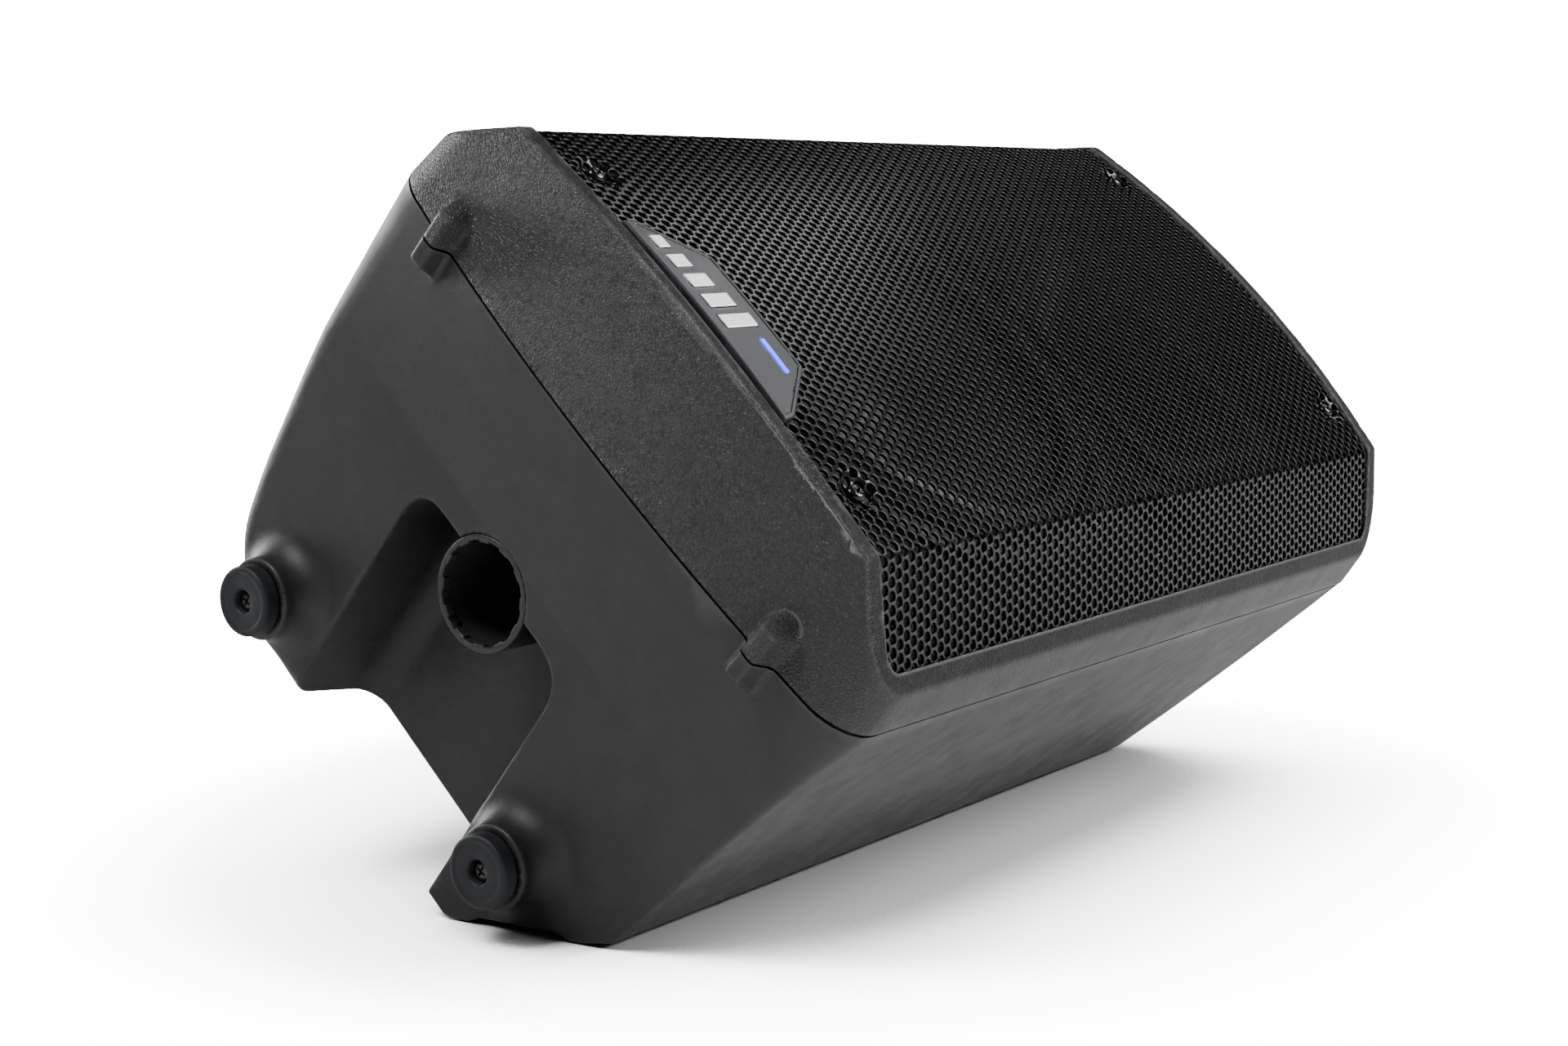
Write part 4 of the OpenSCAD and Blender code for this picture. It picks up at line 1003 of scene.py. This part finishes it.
def build_screws():
    """Each row: node, where, axis, head radius and height, shank radius and length, finish, slot, turn."""
    black, dark = (M["screw"], "black_screws"), (M["dark_zinc"], "zinc_screws")
    feet = [(x, -15.0, z) for x, z in FEET]
    for node, *how in (
            ("grille_screws", at_height(GRILLE_SCREWS, CUP_Z), UP, 3.4, 2.3, 1.95, 18, *black, 33),
            ("baffle_screws", at_height(BAFFLE_SCREWS, BOARD_Z), UP, 3.6, 2.4, 1.95, 54, *black, 10),
            ("foot_screws", feet, (0, -1, 0), 3.7, 2.2, 1.95, 24, *dark, 12),
            ("woofer_screws", WOOFER_BOLTS, UP, 3.6, 2.4, 1.95, 14, *black, 50),
            ("horn_screws", HORN_BOLTS, UP, 3.2, 2.2, 1.95, 14, *black, 70),
            ("panel_screws", PANEL_BOLTS, DOWN, 2.9, 1.9, 1.5, 7, *black, 15),
            ("heat_sink_screws", SINK_BOLTS, DOWN, 2.7, 1.8, 1.5, 8, *black, 62)):
        screws(node.replace("screws", "pan_screws"), node, *how)
    ends = [((side * 65.6, 392.5, z), (side, 0, 0)) for side in (-1, 1) for z in HANDLE_SCREW_Z]
    thread = turned([(0, -22), (1.7, -21), (2.15, -20), (2.15, 0.1), (0, 0.1)], 20)
    points, faces, count = [], [], 0
    for centre, axis in ends:
        p, f = placed([HEAD, thread], [centre], axis)
        points.append(p)
        faces += [tuple(count + k for k in face) for face in f]
        count += len(p)
    obj = piece("handle_pan_screws", np.concatenate(points), faces, black[0], slot=black[1],
                replaces=["handle_screws"])
    tidy(obj, 35)


build_screws()

# --- pole socket, feet and handle


def build_socket_and_feet():
    def socket(x, y, z):
        radial = np.hypot(x, z)
        body = rod_field(radial, y, POLE_R + 2.9, 0.0, 83.0, 0.7)
        body = smin(body, rod_field(radial, y, POLE_R + 9, 41.6, 45.5, 0.4), 1.0)
        body = cut(body, rod_field(radial, y, POLE_R, -10.0, 80.0), 0.5)
        # short ribs stand just inside the mouth
        pitch = 2 * math.pi / 12
        off = np.abs((np.arctan2(z, x) + pitch / 4) % pitch - pitch / 2) * radial
        body = cut(body, rod_field(radial, y, POLE_R + 0.9, 3.6, 79.0), 0.3)
        return cut(body, smax(smax(2.3 - off, radial - POLE_R - 0.7, 0.1), y - 5.0, 0.2), 0.2)

    sculpt("pole_socket_moulding", socket, (-27.2, -0.2, -27.2), (27.2, 83.2, 27.2), 0.55, M["socket"], 0.03,
           slot="shell_plastic", replaces=["pole_socket"])

    def rounded(r, a, b, e):
        """Outline points of a disc's edge from height a to b, rounded by e at b."""
        return [(r, a)] + [(r - e + e * math.sin(t), b - e + e * math.cos(t))
                           for t in np.linspace(math.pi / 2, 0, 7)]

    foot = [(2.3, 11.8), (FOOT_R - 1.2, 11.8), (FOOT_R - 1.2, 12.9), (FOOT_R - 0.3, 13.0), (FOOT_R, 13.3)]
    foot += rounded(FOOT_R, 15.2, FOOT_END, 1.5)[1:]
    foot += [(FOOT_R - 2.6, FOOT_END), (FOOT_R - 2.9, FOOT_END - 0.25), (FOOT_R - 3.2, FOOT_END - 0.25),
             (5.4, FOOT_END - 0.1), (4.7, FOOT_END - 0.35), (4.3, FOOT_END - 1.0), (4.3, 15.0), (2.3, 15.0)]
    lathe("rubber_feet", foot, [(x, 0.0, z) for x, z in FEET], (0, -1, 0), M["rubber"], 128,
          slot="foot_rubber", replaces=["rear_feet"])

    def handle(x, y, z):
        wave = 0.5 * np.cos(x * 2 * math.pi / 24.0) * np.clip(1.3 - np.abs(x) / 45.0, 0, 1)
        grip = rect_field(y - HANDLE_Y, z, 8.4, 11.9, 4.6) + 0.0 * x
        grip = grip + np.where(y < HANDLE_Y, 0.45 + wave, 0.0) * np.clip((HANDLE_Y - y) / 8.0, 0, 1)
        return smax(grip, np.abs(x) - HANDLE_HALF, 0.4)

    sculpt("handle_grip", handle, (-62.2, 385, -12.2), (62.2, 403, 12.2), 0.8, M["handle"], 0.02,
           slot="shell_plastic", replaces=["carry_handle"])


build_socket_and_feet()

# --- woofer

FLANGE = 107.8
SPIDER_Z = 64.0


def arc(cx, cy, r, start, end, steps):
    return [(cx + r * math.cos(a), cy + r * math.sin(a)) for a in np.radians(np.linspace(start, end, steps))]


def radial_blend(obj):
    """Bakes the piece's placement into its mesh."""
    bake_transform(obj)


def build_woofer():
    at = [(0.0, WOOFER_Y, 0.0)]
    low = FLANGE + 0.05
    roll = ([(95, low + 0.8), (91.2, low + 0.8), (90.6, low + 0.9)] + arc(83, low, 7.2, 4, 176, 25)
            + [(75.4, low + 0.9), (74.8, low + 0.8), (72, low + 0.8), (72, low), (76.3, low)]
            + arc(83, low, 6.4, 178, 2, 25) + [(89.7, low), (95, low)])
    surround = lathe("surround_roll", roll, at, UP, M["surround"], 128, body=None, slot="surround_rubber",
                     replaces=["woofer_surround"])
    radial_blend(surround)
    ring = [(90.2, FLANGE + 0.9), (95, FLANGE + 0.9), (95, FLANGE + 2.4), (94.4, FLANGE + 3),
            (90.9, FLANGE + 3), (90.2, FLANGE + 2.2)]
    lathe("trim_ring", ring, at, UP, M["gloss_black"], 128, slot="black_foam", replaces=["woofer_trim_ring"])
    t = np.linspace(0, 1, 40)
    front = [(26.1 + 46.5 * k, 73 + (FLANGE - 73) * (k ** 0.93) - 0.10 * math.sin(k * 44)) for k in t]
    back = [(r + 1.2, z - 1.4) for r, z in front[::-1] if r > 27.5]
    cone = front + [(76.4, FLANGE), (76.4, FLANGE - 1.5)] + back + [(26.1, 71)]
    lathe("paper_cone", cone, at, UP, M["paper"], 128, body="woofer_moving_parts", slot="cone_paper",
          replaces=["woofer_cone"])
    dome = [(52 * math.sin(a), 41 + 52 * math.cos(a)) for a in np.linspace(0, math.asin(34 / 52), 24)]
    inner = [(51.2 * math.sin(a), 41 + 51.2 * math.cos(a))
             for a in np.linspace(math.asin(33.6 / 51.2), 0, 24)]
    lathe("dust_cap_dome", dome + inner, at, UP, M["dust_cap"], 96, body="woofer_moving_parts",
          slot="cone_paper", replaces=["woofer_dust_cap"])
    coil = [(25.6, 38), (26.0, 38), (26.0, 40)]
    for i in range(24):
        z = 40.25 + i * 0.5
        coil += [(26.35, z - 0.22), (26.75, z), (26.35, z + 0.22)]
    lathe("voice_coil_winding", coil + [(26.0, 52.2), (26.0, 73), (25.6, 73)], at, UP, M["copper"], 96,
          body="woofer_moving_parts", slot="copper", replaces=["woofer_voice_coil"])
    k = np.linspace(0, 1, 90)
    wave = 1.1 * np.sin(k * 8 * math.pi)
    upper = list(zip(26.1 + 28 * k, SPIDER_Z + 1.7 + wave)) + [(62, SPIDER_Z + 1.8)]
    lower = [(62, SPIDER_Z + 0.2), (54.2, SPIDER_Z + 0.2)]
    lower += list(zip(26.1 + 28 * k[::-1], SPIDER_Z + 1.2 + wave[::-1]))
    spider = lathe("spider_cloth", upper + lower, at, UP, M["spider"], 96, body=None, slot="spider_cloth",
                   replaces=["woofer_spider"])
    radial_blend(spider)


build_woofer()

# --- horn, ports


def oval(a, b, power, z, count=96):
    """A ring of points on a rounded rectangle of half sizes a and b."""
    angle = np.arange(count) * 2 * math.pi / count
    r = (np.abs(np.cos(angle) / a) ** power + np.abs(np.sin(angle) / b) ** power) ** (-1 / power)
    return np.stack([r * np.cos(angle), r * np.sin(angle), np.full(count, z)], 1)


def loft(rings):
    """A closed tube of quads through rings, the last joined to the first."""
    n = len(rings[0])
    faces = []
    for i in range(len(rings)):
        a, b = i * n, ((i + 1) % len(rings)) * n
        faces += [(a + k, a + (k + 1) % n, b + (k + 1) % n, b + k) for k in range(n)]
    return np.concatenate(rings), faces


def build_horn():
    flare = []
    for t in np.linspace(0, 1, 26):
        spread = t ** 1.35
        flare.append((12.7 + 57.3 * spread, 12.7 + 35.3 * spread, 2 + 6 * t ** 1.5, 50 + 57.4 * t))
    rings = [oval(a, b, n, z) for a, b, n, z in flare]
    rings += [oval(71.2, 49.2, 8, 107.75), oval(73.0, 51.0, 9, 107.5), oval(77.4, 55.4, 14, 107.4),
              oval(78, 56, 14, 106.8), oval(78, 56, 14, 104), oval(73.9, 51.9, 12, 104)]
    rings += [oval(a + 2.6, b + 2.6, n, z - 0.6) for a, b, n, z in flare[-3:3:-2]]
    rings += [oval(15.7, 15.7, 2, 54), oval(37, 37, 2, 54), oval(37, 37, 2, 50)]
    points, faces = loft(rings)
    tidy(piece("horn_flare", points + (0, HORN_Y, 0), faces, M["horn"], slot="horn_plastic",
               replaces=["horn"]), 32)
    port = [(12.5, 58), (15, 58), (15, 104), (17.5, 104), (17.5, 105.8), (17.0, 106.4), (16.4, 106.4),
            (15.6, 106.3), (14.4, 105.6), (13.5, 104.4), (12.9, 102.6), (12.6, 100.4), (12.5, 98)]
    lathe("port_mouldings", port, at_height(PORTS, 0.0), UP, M["horn"], 64, slot="horn_plastic",
          replaces=["port_tubes"])


build_horn()

# --- controls


KNOB_TOP = -100.2


def build_knob(number, kx, ky):
    def knob(x, y, z):
        radial = np.hypot(x - kx, y - ky)
        angle = np.arctan2(y - ky, x - kx)
        flutes = 0.28 * np.cos(24 * angle) * np.clip((z + 99.3) / 1.5, 0, 1)
        body = rod_field(radial - flutes + 0.02 * (PANEL_OUT - z), z, 8.9, KNOB_TOP, -84.9, 1.1)
        body = smin(body, rod_field(radial, z, 8.95, -87.4, -84.8, 0.4), 0.8)
        dish = radial * radial / 34.0 - 0.6 - (z - KNOB_TOP)
        body = smax(body, -rod_field(radial, z, 7.0, -89.0, -80.0), 0.3)
        body = cut(body, rod_field(radial, z, 2.95, -99.0, -80.0), 0.1)
        body = cut(body, np.maximum(dish - 0.05, z + 99.2), 0.3)
        return cut(body, box_field(x - kx, y - ky, z, (-0.6, 2.4, -110), (0.6, 12, -99.3), 0.1), 0.1)

    def pointer(x, y, z):
        return box_field(x - kx, y - ky, z, (-0.55, 2.5, -99.9), (0.55, 7.6, -99.2), 0.15)

    body = "gain_%d" % number
    sculpt("knob_%d" % number, knob, (kx - 9.5, ky - 9.5, -100.6), (kx + 9.5, ky + 9.5, -84.4), 0.26,
           M["knob"], 0.02, body=body, slot="knob_plastic", replaces=["gain_knob_%d" % number])
    sculpt("knob_pointer_%d" % number, pointer, (kx - 1, ky + 2, KNOB_TOP), (kx + 1, ky + 8, -99), 0.12,
           M["print"], 0.02, body=body, slot="knob_plastic")


def build_markings():
    """White tick marks round the knobs and a frame line round the inputs, printed on the panel."""
    parts = []
    for kx, ky in KNOBS:
        for a in np.radians(np.linspace(-140, 140, 11)):
            parts.append((kx + 11.6 * math.sin(a), ky + 11.6 * math.cos(a), a, 0.25, 0.9))
    for x, y, w, h in ((-5, 306.5, 0.2, 9), (-5, 252, 0.2, 15), (-5, 228.5, 48, 0.2), (-5, 274, 48, 0.2)):
        parts.append((x, y, 0.0, w, h))
    points, faces = [], []
    for x, y, a, w, h in parts:
        base = len(points)
        for z in (PANEL_OUT - 0.06, PANEL_OUT + 0.02):
            for u, v in ((-w, -h), (w, -h), (w, h), (-w, h)):
                points.append((x + u * math.cos(a) + v * math.sin(a),
                               y - u * math.sin(a) + v * math.cos(a), z))
        faces += [tuple(base + k for k in f) for f in ((0, 3, 2, 1), (4, 5, 6, 7), (0, 1, 5, 4), (1, 2, 6, 5),
                                                         (2, 3, 7, 6), (3, 0, 4, 7))]
    obj = piece("panel_markings", points, faces, M["print"], slot="button_plastic")
    obj.data.shade_flat()


for number, knob_at in enumerate(KNOBS, 1):
    build_knob(number, *knob_at)
build_markings()

# --- CAD nodes that stay

# finish, bevel width in mm, nodes
KEPT = [
    ("foam", 0.15, "seam_gasket woofer_gasket panel_gasket"),
    ("paint", 0.6, "woofer_basket tweeter_cover"),
    ("plated", 0.5, "woofer_top_plate"),
    ("ferrite", 0.8, "woofer_magnet"),
    ("plated", 0.8, "woofer_back_plate"),
    ("ferrite", 0.7, "tweeter_motor"),
    ("titanium", 0.05, "tweeter_diaphragm"),
    ("felt", 1.5, "damping_pads"),
    ("panel", 0.35, "amp_panel"),
    ("anodised", 0.25, "heat_sink"),
    ("board", 0.15, "power_board amp_board input_board"),
    ("socket_black", 0.3, "input_sockets output_socket"),
    ("latch", 0.3, "input_latch_1 input_latch_2"),
    ("plated", 0.2, "gain_pots pot_nuts gain_shaft_1 gain_shaft_2"),
    ("socket_black", 0.2, "mode_switch"),
    ("button", 0.35, "mode_button"),
    ("lens", 0.1, "status_lights"),
    ("socket_black", 0.4, "power_switch mains_inlet fuse_drawer"),
    ("gloss_black", 0.4, "power_rocker"),
    ("cable", 0.1, "speaker_leads"),
]


def dress_cad():
    for finish, width, nodes in KEPT:
        for node in nodes.split():
            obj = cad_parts[node]
            obj.data.materials.clear()
            obj.data.materials.append(M[finish])
            weld = obj.modifiers.new("weld", "WELD")
            weld.merge_threshold = 1e-6
            bevel = obj.modifiers.new("bevel", "BEVEL")
            bevel.width = width * 0.001
            bevel.segments = 2
            bevel.limit_method = "ANGLE"
            bevel.angle_limit = math.radians(35)
            bevel.harden_normals = True


dress_cad()

# --- camera, light and floor

CAMERA_AT = (-0.5722, -0.5570, 0.1173)
LOOK = (0.796429, 0.592789, -0.119593)
CAMERA_DOWN = (-0.111224, -0.050799, -0.992496)
FLOOR_Z = cad_box[0][2]
FLOOR_LIT = (0.80, 0.82)        # its colour to all but the camera
FLOOR_SEEN = (11.0, 11.0, 11.0)
SKY = 0.2                       # how far off something paints shadow on the floor for the camera, m
FADE = (0.26, 0.50)             # from the wedge's middle, m
WHITE = 30.0
ROOM_BRIGHT = (-0.7, -0.3, 0.6)
ROOM = (0.04, 0.16)             # its weakest and strongest light


def build_camera():
    data = bpy.data.cameras.new("camera")
    data.lens = 53.3
    data.sensor_width = 36.0
    data.clip_start = 0.01
    camera = bpy.data.objects.new("camera", data)
    bpy.context.scene.collection.objects.link(camera)
    forward = Vector(LOOK).normalized()
    up = -Vector(CAMERA_DOWN)
    up = (up - forward * up.dot(forward)).normalized()
    right = forward.cross(up)
    camera.matrix_world = Matrix.Translation(CAMERA_AT) @ Matrix((right, up, -forward)).transposed().to_4x4()
    bpy.context.scene.camera = camera


def area_light(name, at, aim, size, power):
    data = bpy.data.lights.new(name, "AREA")
    data.shape = "RECTANGLE"
    data.size, data.size_y = size
    data.energy = power
    lamp = bpy.data.objects.new(name, data)
    lamp.location = at
    lamp.rotation_euler = (Vector(aim) - Vector(at)).to_track_quat("-Z", "Y").to_euler()
    bpy.context.scene.collection.objects.link(lamp)


def camera_only(tree, seen, unseen):
    """Mixes two shaders: the first where the camera looks straight at it, the second for all other light."""
    mix = tree.nodes.new("ShaderNodeMixShader")
    tree.links.new(tree.nodes.new("ShaderNodeLightPath").outputs["Is Camera Ray"], mix.inputs["Fac"])
    tree.links.new(unseen, mix.inputs[1])
    tree.links.new(seen, mix.inputs[2])
    return mix.outputs[0]


def build_floor():
    """A pale floor. The camera sees painted shadow on it where something stands close over it, and sees it
    fade, away from the wedge, into the white behind it.
    """
    mesh = bpy.data.meshes.new("studio_floor")
    points = [((a - 0.5) * 40, (b - 0.5) * 40, FLOOR_Z) for a in (0, 1) for b in (0, 1)]
    mesh.from_pydata(points, [], [(0, 2, 3, 1)])
    floor = bpy.data.objects.new("studio_floor", mesh)
    n = Nodes("studio_floor")
    mottle = n.noise(3.0)
    lit = n.node("BsdfDiffuse", Color=n.mix(mottle, *[(grey,) * 3 for grey in FLOOR_LIT]))
    # painted shadow: to the camera the floor is darker where something stands close over it
    open_sky = n.span(n.node("AmbientOcclusion", Distance=SKY).outputs["AO"], 0.3, 1.0, 0.05, 1.0)
    bright = n.node("BsdfDiffuse", Color=n.mix(open_sky, (0, 0, 0), FLOOR_SEEN))
    white = n.node("Emission", Color=(1, 1, 1, 1), Strength=WHITE)
    middle = [(low + high) / 2 for low, high in zip(*cad_box)]
    away = n.node("VectorMath", operation="DISTANCE")
    n.feed(away.inputs[0], n.place)
    away.inputs[1].default_value = (middle[0], middle[1], FLOOR_Z)
    fade = n.tree.nodes.new("ShaderNodeMixShader")
    n.feed(fade.inputs["Fac"], n.span(away.outputs["Value"], *FADE))
    n.feed(fade.inputs[1], bright.outputs[0])
    n.feed(fade.inputs[2], white.outputs[0])
    out = n.tree.nodes["Material Output"]
    n.tree.links.new(camera_only(n.tree, fade.outputs[0], lit.outputs[0]), out.inputs["Surface"])
    mesh.materials.append(n.material)
    bpy.context.scene.collection.objects.link(floor)


def build_world():
    """White to the camera. To the object, a soft room that is brighter in front than above and behind."""
    world = bpy.data.worlds.new("studio")
    n = Nodes("studio", world)
    facing = n.node("VectorMath", operation="DOT_PRODUCT")
    n.feed(facing.inputs[0], n.place)
    facing.inputs[1].default_value = Vector(ROOM_BRIGHT).normalized()
    fade = n.tree.nodes.new("ShaderNodeMapRange")
    fade.interpolation_type = "SMOOTHSTEP"
    for key, value in (("From Min", -1.0), ("From Max", 1.0), ("To Min", ROOM[0]), ("To Max", ROOM[1])):
        fade.inputs[key].default_value = value
    n.feed(fade.inputs["Value"], facing.outputs["Value"])
    n.feed(n.tree.nodes["Background"].inputs["Strength"], fade.outputs[0])
    white = n.node("Background", Strength=WHITE)
    out = camera_only(n.tree, white.outputs[0], n.tree.nodes["Background"].outputs[0])
    n.tree.links.new(out, n.tree.nodes["World Output"].inputs["Surface"])
    bpy.context.scene.world = world


build_camera()
build_floor()
build_world()
area_light("overhead", (1.1, -1.5, 1.1), (0.3, -0.4, -0.1), (1.4, 1.0), 80)
area_light("key", (-0.55, 0.2, 0.95), (0.0, 0.08, 0.12), (0.4, 0.4), 10)
area_light("grille_glow", (1.2, -0.1, 1.15), (0.12, 0.0, 0.15), (0.5, 0.5), 3)
area_light("behind", (0.2, 1.5, 0.35), (0.2, 0.1, -0.02), (1.0, 0.6), 20)

bpy.context.view_layer.update()
